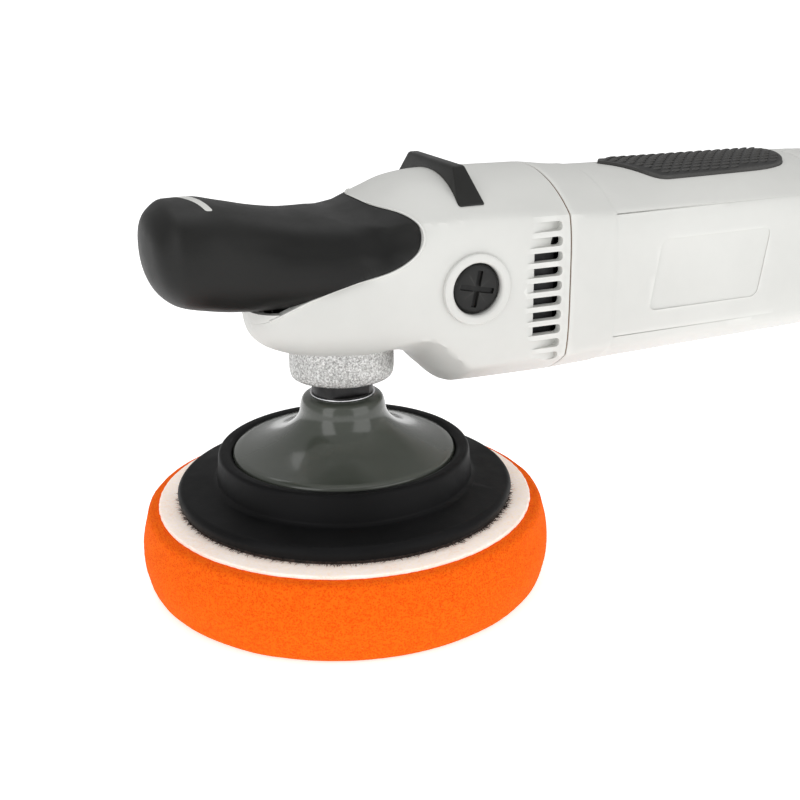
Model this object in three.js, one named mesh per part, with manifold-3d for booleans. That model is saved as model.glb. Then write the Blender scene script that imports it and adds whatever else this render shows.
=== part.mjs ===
// Rotary polisher: pad and plate on a vertical spindle, a two-stage gear head, a motor housing and a
// rear handle. Millimetres. The origin is the centre of the pad's working face, the spindle is the Z
// axis, +Z is up and +X runs along the motor to the rear handle.
import * as THREE from "three";
import { mergeVertices } from "three/addons/utils/BufferGeometryUtils.js";
import Module from "manifold-3d";

const wasm = await Module();
wasm.setup();

// ---------------------------------------------------------------- driving dimensions

const seat = 0.3; // gap left between pieces that rest on each other
const skinGap = 0.1; // gap between stacked layers of the working end
const wall = 3; // casing wall

const padRadius = 75;
const padThickness = 28.4;
const backingRadius = 68; // loop disc glued on the pad
const backingThickness = 1.2;
const plateRadius = 60.7;
const hookThickness = 1.2;
const plateHeight = 16.6; // underside of the plate to the top of its raised ring
const ringRadius = 46.6;
const hubRadius = 40.3; // foot of the conical hub
const hubHeight = 20.4;
const hubSink = 3; // depth of the hub's foot below the plate's ring

const threadRadius = 7; // M14 spindle end
const threadLength = 18;
const neckRadius = 11;
const neckHeight = 6.6;
const flatWidth = 17; // across the wrench flats
const journalRadius = 7.4;
const topJournalRadius = 4.9;
const collarRadius = 18.7;
const collarLength = 24.3;
const collarDrop = 8.4; // top of the collar below the motor shaft
const bearingWidth = 9;
const layBearingRadius = 9; // bearing of the intermediate shaft
const layBearingFrom = 26;
const layBearingTo = 33;
const sealHeight = 5;

const axisZ = 108; // motor shaft height
const spurModule = 0.8;
const spurTeeth = 8;
const wheelTeeth = 27;
const bevelModule = 1.3;
const pinionTeeth = 11;
const crownTeeth = 31;
const bevelFace = 6.5;

const caseRadius = 24.9; // gear chamber outside
const caseWall = 3.3;
const flangeRadius = 23.9;
const headSeam = 72; // joint of head cover and motor housing
const plateFrom = headSeam - 12; // bearing plate
const plateTo = headSeam - 4;
const motorLength = 116;
const handleLength = 192;

const plugX = 36.3; // side handle sockets
const plugZ = 110;
const plugRadius = 8.75;
const bossRadius = 12.25;
const bossFace = 36;

const coreDepth = 10.8; // stator core, from the armature to its outside
const statorLength = 46;
const armatureRadius = 19.6;
const statorRadius = armatureRadius + coreDepth;
const barrelHalf = statorRadius + wall + 2.1; // half width of the casing round the stator
const shaftRadius = 4;
const commutatorRadius = 11;
const fanRadius = 25;

const hoodThickness = 2.2;
const gripRaise = 0.8;

// ---------------------------------------------------------------- derived places

const spurGap = (spurModule * (spurTeeth + wheelTeeth)) / 2;
const bevelZ = axisZ + spurGap;
const crownRadius = (bevelModule * crownTeeth) / 2;
const pinionRadius = (bevelModule * pinionTeeth) / 2;
const rearSeam = headSeam + motorLength;
const tail = rearSeam + handleLength;

// The working end hangs from the head, so its heights are worked out downwards; the whole polisher is
// then lifted so that the pad's face lies at zero.
const collarTop = axisZ - collarDrop;
const collarBottom = collarTop - collarLength;
const neckTop = collarBottom - 0.5;
const neckBottom = neckTop - neckHeight;
const hubTop = neckBottom - skinGap;
const plateTop = hubTop - hubHeight;
const hubFoot = plateTop - hubSink;
const plateBottom = plateTop - plateHeight;
const hookBottom = plateBottom - skinGap - hookThickness;
const loopBottom = hookBottom - skinGap - backingThickness;
const padFace = loopBottom - skinGap - padThickness;

// ---------------------------------------------------------------- shapes

function solidFrom(position, index) {
  const build = (triVerts) =>
    new wasm.Manifold(
      new wasm.Mesh({ numProp: 3, vertProperties: new Float32Array(position), triVerts }),
    );
  const made = build(new Uint32Array(index));
  if (made.volume() >= 0) return made;
  const turned = [];
  for (let i = 0; i < index.length; i += 3) turned.push(index[i], index[i + 2], index[i + 1]);
  return build(new Uint32Array(turned));
}

function solid(geometry) {
  const bare = geometry.index ? geometry.toNonIndexed() : geometry.clone();
  bare.deleteAttribute("normal");
  bare.deleteAttribute("uv");
  const merged = mergeVertices(bare, 1e-4);
  return solidFrom(merged.attributes.position.array, Array.from(merged.index.array));
}

const X = new THREE.Vector3(1, 0, 0);
const Y = new THREE.Vector3(0, 1, 0);
const Z = new THREE.Vector3(0, 0, 1);
const upright = new THREE.Matrix4().makeBasis(X, Z, Y.clone().negate());
const along = new THREE.Matrix4().makeBasis(Y, X, Z.clone().negate());
const sideways = new THREE.Matrix4();

// A turned solid: radius and height pairs round Z, X or Y.
function turned(profile, frame = upright, segments = 20) {
  const points = profile.map(([r, h]) => new THREE.Vector2(r, h));
  return solid(new THREE.LatheGeometry(points, segments).applyMatrix4(frame));
}

function rod(radius, from, to, frame = upright, segments = 20) {
  return turned([[0, from], [radius, from], [radius, to], [0, to]], frame, segments);
}

function sleeve(inner, outer, from, to, frame = upright, segments = 20) {
  const profile = [[inner, from], [outer, from], [outer, to], [inner, to], [inner, from]];
  return turned(profile, frame, segments);
}

function bar(x, y, z, dx, dy, dz) {
  return solid(new THREE.BoxGeometry(dx, dy, dz).translate(x, y, z));
}

function outlineShape(points) {
  return new THREE.Shape(points.map(([a, b]) => new THREE.Vector2(a, b)));
}

// Outlines drawn in plan (x, y), from the side (x, z) and from the end (y, z).
function plan(points, from, to) {
  const options = { depth: to - from, bevelEnabled: false };
  return solid(new THREE.ExtrudeGeometry(outlineShape(points), options).translate(0, 0, from));
}

function sideOn(points, from, to) {
  const options = { depth: to - from, bevelEnabled: false };
  const drawn = new THREE.ExtrudeGeometry(outlineShape(points), options);
  return solid(drawn.applyMatrix4(upright).translate(0, to, 0));
}

function endOn(points, from, to) {
  const options = { depth: to - from, bevelEnabled: false };
  const drawn = new THREE.ExtrudeGeometry(outlineShape(points), options);
  return solid(drawn.applyMatrix4(new THREE.Matrix4().makeBasis(Y, Z, X)).translate(from, 0, 0));
}

// A skin over rings of points: capped at both ends, or joined round into a loop.
function skin(rings, loop = false) {
  const count = rings[0].length;
  const position = rings.flat(2);
  const index = [];
  const spans = loop ? rings.length : rings.length - 1;
  for (let i = 0; i < spans; i++) {
    const a = i * count;
    const b = ((i + 1) % rings.length) * count;
    for (let j = 0; j < count; j++) {
      const k = (j + 1) % count;
      index.push(a + j, b + j, b + k, a + j, b + k, a + k);
    }
  }
  if (!loop) {
    for (const [ring, at, flip] of [[rings[0], 0, false], [rings.at(-1), count * spans, true]]) {
      const centre = position.length / 3;
      for (const axis of [0, 1, 2]) {
        position.push(ring.reduce((sum, point) => sum + point[axis], 0) / count);
      }
      for (let j = 0; j < count; j++) {
        const k = (j + 1) % count;
        index.push(centre, ...(flip ? [at + k, at + j] : [at + j, at + k]));
      }
    }
  }
  return solidFrom(position, index);
}

// Casings are lofted over stations: x, half width, top, bottom, squareness and crown radius.
function stationAt(stations, x) {
  const last = stations.length - 1;
  let i = stations.findIndex((station) => station[0] >= x);
  if (i < 0) i = last;
  if (i === 0) i = 1;
  const [a, b] = [stations[i - 1], stations[i]];
  const t = THREE.MathUtils.clamp((x - a[0]) / (b[0] - a[0]), 0, 1);
  return a.map((value, k) => (k ? value + t * (b[k] - value) : x));
}

function casing(stations, inset, from, to, count = inset > 0 ? 16 : 24) {
  const inside = stations.filter(([x]) => x > from + 0.5 && x < to - 0.5).map(([x]) => x);
  const rings = [from, ...inside, to].map((x) => {
    const [, half, top, bottom, square, crown] = stationAt(stations, x);
    const w = half - inset;
    const h = (top - bottom) / 2 - inset;
    return Array.from({ length: count }, (_, i) => {
      const angle = (2 * Math.PI * i) / count;
      const [c, s] = [Math.cos(angle), Math.sin(angle)];
      const y = w * Math.sign(c) * Math.abs(c) ** (2 / square);
      const arc = h * Math.abs(s) ** (2 / square);
      const crowned = h - (crown - Math.sqrt(crown ** 2 - y ** 2));
      const rise = Math.abs(s) < 1e-9 ? 0 : Math.min(arc, crowned);
      return [x, Math.abs(c) < 1e-9 ? 0 : y, (top + bottom) / 2 + Math.sign(s) * rise];
    });
  });
  return skin(rings);
}

// An outline moved outwards by a distance along its averaged edge normals.
function grown(points, distance) {
  const area = points.reduce((sum, [x, y], i) => {
    const [u, v] = points[(i + 1) % points.length];
    return sum + x * v - u * y;
  }, 0);
  const way = Math.sign(area) * distance;
  return points.map(([x, y], i) => {
    const [px, py] = points.at(i - 1);
    const [nx, ny] = points[(i + 1) % points.length];
    const a = new THREE.Vector2(y - py, px - x).normalize();
    const b = new THREE.Vector2(ny - y, x - nx).normalize();
    const m = a.add(b);
    const reach = (2 * way) / m.lengthSq();
    return [x + m.x * reach, y + m.y * reach];
  });
}

// A spur gear outline: tapered teeth, the first one centred at angle `first`.
function spurOutline(teeth, module, first) {
  const pitch = (teeth * module) / 2;
  const step = Math.PI / teeth;
  const tooth = [[-1.1, pitch - 1.25 * module], [-0.36, pitch + 0.95 * module]];
  const flank = [...tooth, ...tooth.toReversed().map(([share, r]) => [-share, r])];
  return Array.from({ length: teeth }, (_, k) => k).flatMap((k) =>
    flank.map(([share, r]) => {
      const angle = first + 2 * step * k + (share * step) / 2;
      return [r * Math.cos(angle), r * Math.sin(angle)];
    }),
  );
}

// A bevel gear on the Z axis with its apex at the origin and its teeth facing +Z; `back` holds the
// radius and height of the turned rings that close it behind the teeth, `front` those before them.
function bevelGear(teeth, mate, module, face, first, back, front) {
  const pitch = (teeth * module) / 2;
  const cone = Math.atan2(teeth, mate);
  const slant = pitch / Math.sin(cone);
  const step = Math.PI / teeth;
  const flank = [[-1.1, -1.2], [-0.34, 0.85], [0.34, 0.85], [1.1, -1.2]];
  const ringAt = (share) =>
    Array.from({ length: teeth }, (_, k) => k).flatMap((k) =>
      flank.map(([spread, height]) => {
        const angle = first + 2 * step * k + (spread * step) / 2;
        const rise = height * module * share;
        const r = slant * share * Math.sin(cone) + rise * Math.cos(cone);
        const z = -slant * share * Math.cos(cone) + rise * Math.sin(cone);
        return [r * Math.cos(angle), r * Math.sin(angle), z];
      }),
    );
  const plain = ([radius, z]) =>
    Array.from({ length: teeth * 4 }, (_, i) => {
      const angle = first + step * (Math.floor(i / 4) * 2 + ((i % 4) - 1.5) * 0.5);
      return [radius * Math.cos(angle), radius * Math.sin(angle), z];
    });
  const toothed = [ringAt(1), ringAt(1 - face / slant)];
  return skin([...back.map(plain), ...toothed, ...front.map(plain)], true);
}

const screwShape = (radius, headRadius, headHeight, length, frame) =>
  turned(
    [[0, 0], [headRadius, 0], [headRadius, headHeight], [radius, headHeight], [radius, length], [0, length]],
    frame,
    10,
  );

// ---------------------------------------------------------------- scene

const finishes = {
  foam: { color: 0xf56a1c, roughness: 0.95, metalness: 0 },
  velour: { color: 0xf8e3da, roughness: 1, metalness: 0 },
  rubber: { color: 0x1b1b1d, roughness: 0.75, metalness: 0 },
  softTouch: { color: 0x232325, roughness: 0.6, metalness: 0 },
  hubPlastic: { color: 0x4b4d46, roughness: 0.2, metalness: 0 },
  casing: { color: 0xe3e4dd, roughness: 0.45, metalness: 0 },
  blackPlastic: { color: 0x1c1c1e, roughness: 0.4, metalness: 0 },
  steel: { color: 0x9c9da0, roughness: 0.3, metalness: 1 },
  cast: { color: 0xb9babb, roughness: 0.55, metalness: 0.9 },
  laminate: { color: 0x6d6e70, roughness: 0.5, metalness: 0.9 },
  copper: { color: 0xb4602e, roughness: 0.35, metalness: 0.9 },
  bronze: { color: 0xa98445, roughness: 0.4, metalness: 0.9 },
  carbon: { color: 0x2a2a2b, roughness: 0.8, metalness: 0 },
  board: { color: 0x1f5a34, roughness: 0.5, metalness: 0 },
};

const polisher = new THREE.Group();

function assembly(name, z = 0) {
  const group = new THREE.Group();
  group.name = name;
  group.position.set(0, 0, z);
  polisher.add(group);
  return group;
}

function add(parent, name, shape, finish) {
  const { vertProperties, triVerts, numProp } = shape.getMesh();
  const count = vertProperties.length / numProp;
  const position = new Float32Array(count * 3);
  for (let i = 0; i < count; i++) {
    position.set(vertProperties.subarray(i * numProp, i * numProp + 3), i * 3);
  }
  const geometry = new THREE.BufferGeometry();
  geometry.setAttribute("position", new THREE.BufferAttribute(position, 3));
  geometry.setIndex(new THREE.BufferAttribute(triVerts.slice(), 1));
  geometry.computeVertexNormals();
  const mesh = new THREE.Mesh(geometry, new THREE.MeshStandardMaterial(finishes[finish]));
  mesh.name = name;
  parent.add(mesh);
}

// ---------------------------------------------------------------- pad and plate

const workingEnd = assembly("working_end");

const padEdge = [[padRadius - 4, 0], [padRadius - 1.5, 3], [padRadius - 0.3, 8], [padRadius, 14]];
const padShoulder = [[padRadius - 0.8, padThickness - 7], [padRadius - 1.6, padThickness - 2], [padRadius - 3.6, padThickness]];
const pad = turned([[0, 0], ...padEdge, ...padShoulder, [0, padThickness]], upright, 32);
add(workingEnd, "foam_pad", pad.translate([0, 0, padFace]), "foam");
add(workingEnd, "pad_loop_backing", rod(backingRadius, loopBottom, loopBottom + backingThickness, upright, 32), "velour");
add(workingEnd, "hook_face", rod(plateRadius - 0.6, hookBottom, hookBottom + hookThickness, upright, 32), "rubber");

const flange = [[plateRadius, plateBottom], [plateRadius + 0.5, plateBottom + 2], [plateRadius - 0.8, plateBottom + 4.4]];
const bead = [[plateRadius - 3, plateBottom + 4.7], [ringRadius + 1, plateBottom + 5.6]];
const ring = [[ringRadius, plateBottom + 6.6], [ringRadius - 1, plateTop - 1.4]];
const rim = [[ringRadius - 2, plateTop], [hubRadius + seat, plateTop], [hubRadius + seat, hubFoot]];
add(
  workingEnd,
  "backing_plate",
  turned([[0, plateBottom], ...flange, ...bead, ...ring, ...rim, [0, hubFoot]], upright, 32),
  "rubber",
);

// The hub is a bell: a quarter-ellipse flare from its foot to the shoulder under the neck.
const insertRadius = threadRadius + 3;
const shoulder = neckRadius + 3.4;
const bell = Array.from({ length: 8 }, (_, i) => {
  const angle = (i / 7) * 0.5 * Math.PI;
  const flare = 1 - Math.sin(angle);
  return [shoulder + (hubRadius - shoulder) * flare, hubTop - 1 - (hubTop - 1 - plateTop) * Math.cos(angle)];
});
const hubBore = insertRadius + 0.2;
add(
  workingEnd,
  "plate_hub",
  turned([[hubBore, hubFoot + 0.1], [hubRadius, hubFoot + 0.1], ...bell, [neckRadius, hubTop], [hubBore, hubTop], [hubBore, hubFoot + 0.1]], upright, 32),
  "hubPlastic",
);
add(workingEnd, "hub_insert", sleeve(threadRadius + 0.2, insertRadius, hubFoot + 0.2, hubTop), "steel");

// ---------------------------------------------------------------- spindle and its bearings

const bearingBottom = collarTop - 3.6 - bearingWidth;
const gearBottom = collarTop + 1;
const gearTop = bevelZ - pinionRadius - 1.6;
const ringGroove = gearTop + 0.3;
const spindleTop = bevelZ + 4;
const shaft = turned(
  [
    [0, neckBottom - threadLength], [threadRadius, neckBottom - threadLength], [threadRadius, neckBottom],
    [neckRadius, neckBottom], [neckRadius, neckTop], [journalRadius, neckTop],
    [journalRadius, ringGroove], [journalRadius - 0.7, ringGroove], [journalRadius - 0.7, ringGroove + 1.2],
    [journalRadius, ringGroove + 1.2], [journalRadius, ringGroove + 2], [topJournalRadius, ringGroove + 2],
    [topJournalRadius, spindleTop], [0, spindleTop],
  ],
);
const flatMid = (neckBottom + neckTop) / 2 - 0.6;
const flatCut = (side) =>
  bar(0, side * (flatWidth / 2 + 5), flatMid, 3 * neckRadius, 10, neckHeight - 2);
add(workingEnd, "spindle", shaft.subtract(flatCut(1)).subtract(flatCut(-1)), "steel");

const raceRadius = collarRadius - 2.5;
add(workingEnd, "spindle_bearing_inner", sleeve(journalRadius + 0.1, journalRadius + 2.6, bearingBottom, bearingBottom + bearingWidth), "steel");

const crown = bevelGear(crownTeeth, pinionTeeth, bevelModule, bevelFace, Math.PI / crownTeeth, [
  [journalRadius + 0.1, gearBottom - bevelZ], [journalRadius + 3.6, gearBottom - bevelZ],
  [journalRadius + 3.6, gearTop - 8 - bevelZ], [crownRadius - 0.4, gearTop - 5 - bevelZ],
], [[journalRadius + 3.4, gearTop - bevelZ], [journalRadius + 0.1, gearTop - bevelZ]]);
add(workingEnd, "crown_gear", crown.translate([0, 0, bevelZ]), "steel");
const clipBottom = ringGroove + 0.1;
add(workingEnd, "gear_retaining_ring", sleeve(journalRadius - 0.6, journalRadius + 2, clipBottom, clipBottom + 1, upright, 24), "steel");

// ---------------------------------------------------------------- gear head

const head = assembly("gear_head");

const flangeBottom = collarTop - 3.4;
add(
  head,
  "spindle_collar",
  turned(
    [
      [neckRadius + 1, collarBottom], [collarRadius - 1.5, collarBottom], [collarRadius, collarBottom + 1.5],
      [collarRadius, flangeBottom], [flangeRadius, flangeBottom], [flangeRadius, collarTop],
      [raceRadius + 0.1, collarTop], [raceRadius + 0.1, collarBottom + 1.8], [neckRadius + 1, collarBottom + 1.8],
      [neckRadius + 1, collarBottom],
    ],
  ),
  "cast",
);
const sealBottom = collarBottom + 2;
const sealTop = Math.min(sealBottom + sealHeight, bearingBottom - 0.2);
add(head, "spindle_seal", sleeve(journalRadius + 0.6, raceRadius - 0.1, sealBottom, sealTop), "rubber");
add(
  head,
  "spindle_bearing_outer",
  sleeve(journalRadius + 4.6, raceRadius, bearingBottom, bearingBottom + bearingWidth),
  "steel",
);

// Gear case: an upright chamber for the crown gear, a tube for the pinion shaft and a box for the
// first stage, with a socket on each side for the side handle.
const caseBottom = collarTop + 0.2;
const roof = bevelZ + 8.6;
const bushRadius = topJournalRadius + 3.1;
const bushBottom = ringGroove + 2.4;
const bushTop = roof - 2.5;
const tubeRadius = 12.4;
const boxFront = 44;
const boxRear = plateFrom - seat;
const boxHalf = 16.5;
const boxBottom = axisZ - 9.5;
const boxTop = bevelZ + 14.6;
const socketReach = 29;
const roofRadius = caseRadius - 5.4;
const chamberProfile = (inset, bottom, top) => [
  [0, bottom], [Math.min(flangeRadius, caseRadius - inset), bottom], [caseRadius - inset, caseBottom + 3],
  [caseRadius - inset, bevelZ - 3], [roofRadius - inset, top], [0, top],
];
const shell = (grow) =>
  turned(chamberProfile(-grow, caseBottom, roof + grow))
    .add(rod(tubeRadius + grow, 12, boxFront + 2, along, 20).translate([0, 0, bevelZ]))
    .add(bar((layBearingFrom + boxFront) / 2, 0, (boxBottom + bevelZ) / 2, boxFront - 24, 24 + 2 * grow, bevelZ - boxBottom))
    .add(
      bar((boxFront + boxRear) / 2, 0, (boxBottom + boxTop) / 2, boxRear - boxFront, 2 * (boxHalf + grow), boxTop - boxBottom + 2 * grow),
    );
const socket = rod(bossRadius - 1, -socketReach, socketReach, sideways, 28).translate([plugX, 0, plugZ]);
const hollow = turned(chamberProfile(caseWall, caseBottom - 1, roof - 2.5))
  .subtract(sleeve(0.01, bushRadius + 2.6, bushBottom, roof))
  .add(rod(tubeRadius - 2.5, 11, 24, along).translate([0, 0, bevelZ]))
  .add(rod(topJournalRadius + 1.2, 11, boxFront + 4, along).translate([0, 0, bevelZ]))
  .add(rod(layBearingRadius + 0.1, layBearingFrom - 0.1, layBearingTo + seat, along).translate([0, 0, bevelZ]))
  .add(bar(boxRear, 0, (boxBottom + boxTop) / 2, 2 * (boxRear - boxFront - 2.5), 2 * (boxHalf - 2.5), boxTop - boxBottom - 5))
  .add(rod(bushRadius + 0.1, bushBottom - 1, bushTop + 0.3));
const plugShank = 7;
const socketBore = (side) =>
  rod(plugShank + 0.2, 0, 30, sideways).translate([plugX, side < 0 ? -socketReach - 15 : socketReach - 15, plugZ]);
const gearCase = shell(0).add(socket).subtract(hollow).subtract(socketBore(-1)).subtract(socketBore(1));
add(head, "gear_case", gearCase, "cast");
add(head, "upper_bush", sleeve(topJournalRadius + 0.1, bushRadius, bushBottom, bushTop, upright, 20), "bronze");

// Head cover and palm hood share the head's outer form; the hood wraps its nose.
const sharedStations = [
  [4.5, 32.4, 136.6, 85.2, 3.3, 79], [8, 33, 138.2, 85, 3.5, 70], [15, 33.6, 141.4, 84.2, 3.6, 60],
  [22, 34, 144.2, 81.7, 3.8, 52],
];
const hoodStations = [
  [-67.4, 3, 130, 123.5, 2.1, 400], [-66.2, 12, 135.6, 117, 2.2, 400], [-63.4, 17.5, 139.4, 111.5, 2.3, 400],
  [-58, 21.5, 142, 107.5, 2.4, 300], [-50, 23, 142, 105.5, 2.4, 300], [-40, 23.5, 140, 104, 2.4, 300],
  [-28, 25, 137.3, 103.5, 2.4, 200], [-16, 28, 135.6, 104, 2.5, 150], [-4, 31, 135.2, 104, 2.7, 100],
  ...sharedStations,
];
const barrelFront = [headSeam, barrelHalf, axisZ + barrelHalf + 1.3, axisZ - barrelHalf - 3.8, 4, 50];
const barrelRear = [rearSeam, barrelHalf - 1, axisZ + barrelHalf - 2.1, axisZ - barrelHalf - 1.5, 4, 50];
const headStations = [
  [-34, 6, 118, 97, 2.2, 400], [-32, 12, 119, 92.4, 2.3, 300], [-28, 17, 120, 89.4, 2.5, 200],
  [-20, 22.3, 122, 87, 2.8, 150], [-11, 26.3, 125, 86, 3, 120], [-4, 28.8, 131, 85.6, 3.2, 110],
  ...sharedStations, [30, barrelHalf - 1.2, axisZ + barrelHalf + 1.8, 74.2, 4, 50],
  [36, barrelHalf - 0.9, axisZ + barrelHalf + 2, axisZ - barrelHalf - 3, 4, 50],
  barrelFront,
];
const nose = hoodStations[0][0];
const chin = headStations[0][0];
const hoodOutline = [
  [nose - 10, 160], [4.9, 160], [5.4, 137], [15.8, 135], [17.8, 129.6], [17.2, 126.6], [13.4, 123.3],
  [7.5, 119.2], [0.8, 116.7], [-7, 114.4], [-12, 111.6], [-24, 107.2], [-31, 103], [-38, 97], [nose - 10, 97],
];
const hoodZone = (grow) => sideOn(grown(hoodOutline, grow), -50, 50);
const hoodForm = (inset) => casing(hoodStations, inset, nose + Math.max(inset, 0) * 1.1, 19.5);
const coreInset = hoodThickness + seat;
add(head, "palm_hood", hoodForm(0).intersect(hoodZone(0)).subtract(hoodForm(hoodThickness)), "softTouch");

const coverSkin = casing(headStations, 0, chin, headSeam - seat / 2)
  .subtract(casing(headStations, wall, chin + wall, headSeam))
  .subtract(hoodForm(-0.2).intersect(hoodZone(seat)));
const coverCore = hoodForm(coreInset)
  .subtract(casing(hoodStations, coreInset + 2.6, nose + 1.1 * coreInset + 2.6, 21))
  .intersect(hoodZone(4));
const bossRing = (side) =>
  rod(bossRadius, 0, 6, sideways, 32).translate([plugX, side < 0 ? -bossFace : bossFace - 6, plugZ]);
const plugHole = rod(plugRadius + 0.2, -50, 50, sideways, 28).translate([plugX, 0, plugZ]);
const collarHole = rod(collarRadius + 0.4, collarBottom - 15, collarTop + 0.4, upright, 32);
const flangeRoom = rod(flangeRadius + 0.6, flangeBottom - 0.6, 110, upright, 32);
const ventPitch = 5.15;
const ventHeight = 3.3;
const ventPlace = headSeam - 10;
const ventTop = 128.5;
const vents = Array.from({ length: 10 }, (_, i) => {
  const open = i > 1 && i < 8;
  const inner = open ? 26 : barrelHalf - 2.3;
  const slot = (side) => bar(ventPlace, side * (inner + 5), ventTop - ventPitch * i, 14, 10, ventHeight);
  return slot(1).add(slot(-1));
});
const cover = [collarHole, flangeRoom, plugHole, shell(0.6), ...vents].reduce(
  (body, cut) => body.subtract(cut),
  coverSkin.add(coverCore).add(bossRing(-1)).add(bossRing(1)),
);
const socketRoom = sleeve(0, bossRadius - 0.4, -socketReach - seat, socketReach + seat, sideways);
add(head, "head_cover", cover.subtract(socketRoom.translate([plugX, 0, plugZ])), "casing");

for (const [name, side] of [["handle_plug_left", -1], ["handle_plug_right", 1]]) {
  const face = bossFace - 1;
  const disc = rod(plugRadius, socketReach + seat, face, sideways, 28);
  const shank = rod(plugShank, socketReach - 9, socketReach + 1, sideways, 24);
  const arm = (turn) =>
    solid(new THREE.BoxGeometry(12.7, 3, 2).rotateY(turn).translate(0, face, 0));
  const slot = THREE.MathUtils.degToRad(12);
  const plug = disc.add(shank).subtract(arm(slot)).subtract(arm(slot + Math.PI / 2));
  const placed = side < 0 ? plug.mirror([0, 1, 0]) : plug;
  add(head, name, placed.translate([plugX, 0, plugZ]), "blackPlastic");
}

// Rest bumper: a trapezoid rib saddled over the head.
const ribTop = axisZ + barrelHalf + 5.4;
const ribBase = axisZ + barrelHalf - 6.8;
const ribFoot = { x: [32.4, 42.4], y: 28.8 };
const ribRidge = { x: [34.8, 39.1], y: 19 };
const ribRing = ({ x, y }, z) => [[x[0], -y, z], [x[1], -y, z], [x[1], y, z], [x[0], y, z]];
const rib = skin([ribRing(ribFoot, ribBase), ribRing(ribRidge, ribTop)]);
add(head, "rest_bumper", rib.subtract(casing(headStations, -0.15, 20, 60)), "blackPlastic");

// ---------------------------------------------------------------- intermediate shaft

const layshaft = assembly("intermediate_stage", bevelZ);

const toX = new THREE.Matrix4().makeBasis(Z.clone(), Y.clone(), X.clone().negate());
const turnToX = (shape) => shape.transform(toX.toArray());
const pinionTip = crownRadius + 2.4;
const pinionFront = crownRadius - bevelFace;
const pinion = bevelGear(pinionTeeth, crownTeeth, bevelModule, bevelFace, Math.PI, [
  [1, -pinionTip], [topJournalRadius, -pinionTip],
], [[1, -pinionFront - 1.2]]);
const pinionShaft = rod(topJournalRadius, pinionTip - 1, 49.6, along)
  .add(rod(3, 49, 65.4, along))
  .add(turnToX(pinion))
  .add(rod(3.4, pinionFront + 1, pinionTip, along));
add(layshaft, "pinion_shaft", pinionShaft, "steel");
const wheelFrom = 49.9;
const wheel = endOn(spurOutline(wheelTeeth, spurModule, -Math.PI / 2 + Math.PI / wheelTeeth), wheelFrom, wheelFrom + 8);
add(layshaft, "intermediate_gear", wheel.subtract(rod(3.1, wheelFrom - 1, wheelFrom + 9, along)), "steel");
add(layshaft, "intermediate_bearing", sleeve(topJournalRadius + 0.1, layBearingRadius, layBearingFrom, layBearingTo, along), "steel");
add(layshaft, "intermediate_bush", sleeve(3.1, 4.5, 60.3, 65.6, along, 20), "bronze");

// ---------------------------------------------------------------- bearing plate

const motor = assembly("motor", axisZ);

const motorStations = [
  barrelFront, [headSeam + 18, barrelHalf - 0.3, axisZ + barrelHalf - 0.7, axisZ - barrelHalf - 3.3, 4, 50],
  barrelRear,
].map(([x, half, top, bottom, square, crown]) => [x, half, top - axisZ, bottom - axisZ, square, crown]);
const screwReach = barrelHalf - 13;
const screwPlaces = [[1, 1], [1, -1], [-1, 1], [-1, -1]].map(([a, b]) => [a * screwReach, b * screwReach]);
const plateStations = [
  [plateFrom, barrelHalf - 5, barrelHalf - 4.5, 5 - barrelHalf, 4, 60],
  [plateTo, barrelHalf - 5, barrelHalf - 4.5, 5 - barrelHalf, 4, 60],
];
const mainRace = 11;
const airWindow = (side) => bar((plateFrom + plateTo) / 2, side * 23, 0, 20, 6.5, 34);
const bearingPlate = [
  rod(shaftRadius + 1, 50, 80, along),
  rod(mainRace + 0.15, 68.3, 90, along),
  rod(4.65, 50, 65.9, along).translate([0, 0, spurGap]),
  airWindow(1),
  airWindow(-1),
  ...screwPlaces.map(([y, z]) => rod(2.2, 50, 80, along, 10).translate([0, y, z])),
].reduce((body, cut) => body.subtract(cut), casing(plateStations, 0, plateFrom, plateTo).add(rod(13.6, 67, 75.6, along)));
add(motor, "bearing_plate", bearingPlate, "cast");

screwPlaces.forEach(([y, z], i) => {
  const screw = screwShape(1.9, 3.4, 3, 27, along).translate([56.8, y, z]);
  add(motor, `housing_screw_${i + 1}`, screw, "steel");
});

// ---------------------------------------------------------------- motor

const statorFrom = headSeam + 24;
const statorTo = statorFrom + statorLength;
const shaftFrom = 48;
const rearBearing = rearSeam - 19.5;
const shaftTo = rearBearing + 7;

const spur = endOn(spurOutline(spurTeeth, spurModule, Math.PI / 2), shaftFrom, shaftFrom + 11);
add(motor, "armature_shaft", spur.add(rod(shaftRadius, shaftFrom + 10.5, shaftTo, along)), "steel");
add(motor, "front_bearing", sleeve(shaftRadius + 0.1, mainRace, 68.5, 75.5, along), "steel");
add(motor, "rear_bearing", sleeve(shaftRadius + 0.1, 9.5, rearBearing, rearBearing + 6, along), "steel");

const coreSlots = Array.from({ length: 12 }, (_, i) =>
  bar(0, 0, armatureRadius, 200, 1.6, 5).rotate([(i * 360) / 12, 0, 0]),
);
const core = coreSlots.reduce(
  (body, slot) => body.subtract(slot.translate([statorFrom, 0, 0])),
  sleeve(shaftRadius + 0.1, armatureRadius, statorFrom + 1, statorTo - 1, along, 24),
);
add(motor, "armature_core", core, "laminate");
const endTurns = (from, to) =>
  turned(
    [
      [shaftRadius + 0.2, from], [armatureRadius - 6, from], [armatureRadius - 2.6, from + (to - from) * 0.35],
      [armatureRadius - 2.6, to - (to - from) * 0.35], [armatureRadius - 4, to], [shaftRadius + 0.2, to],
      [shaftRadius + 0.2, from],
    ],
    along,
    28,
  );
add(motor, "armature_winding_front", endTurns(statorFrom - 6, statorFrom + 0.8), "copper");
add(motor, "armature_winding_rear", endTurns(statorTo - 0.8, statorTo + 6), "copper");
const commutatorFrom = statorTo + 7.5;
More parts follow.
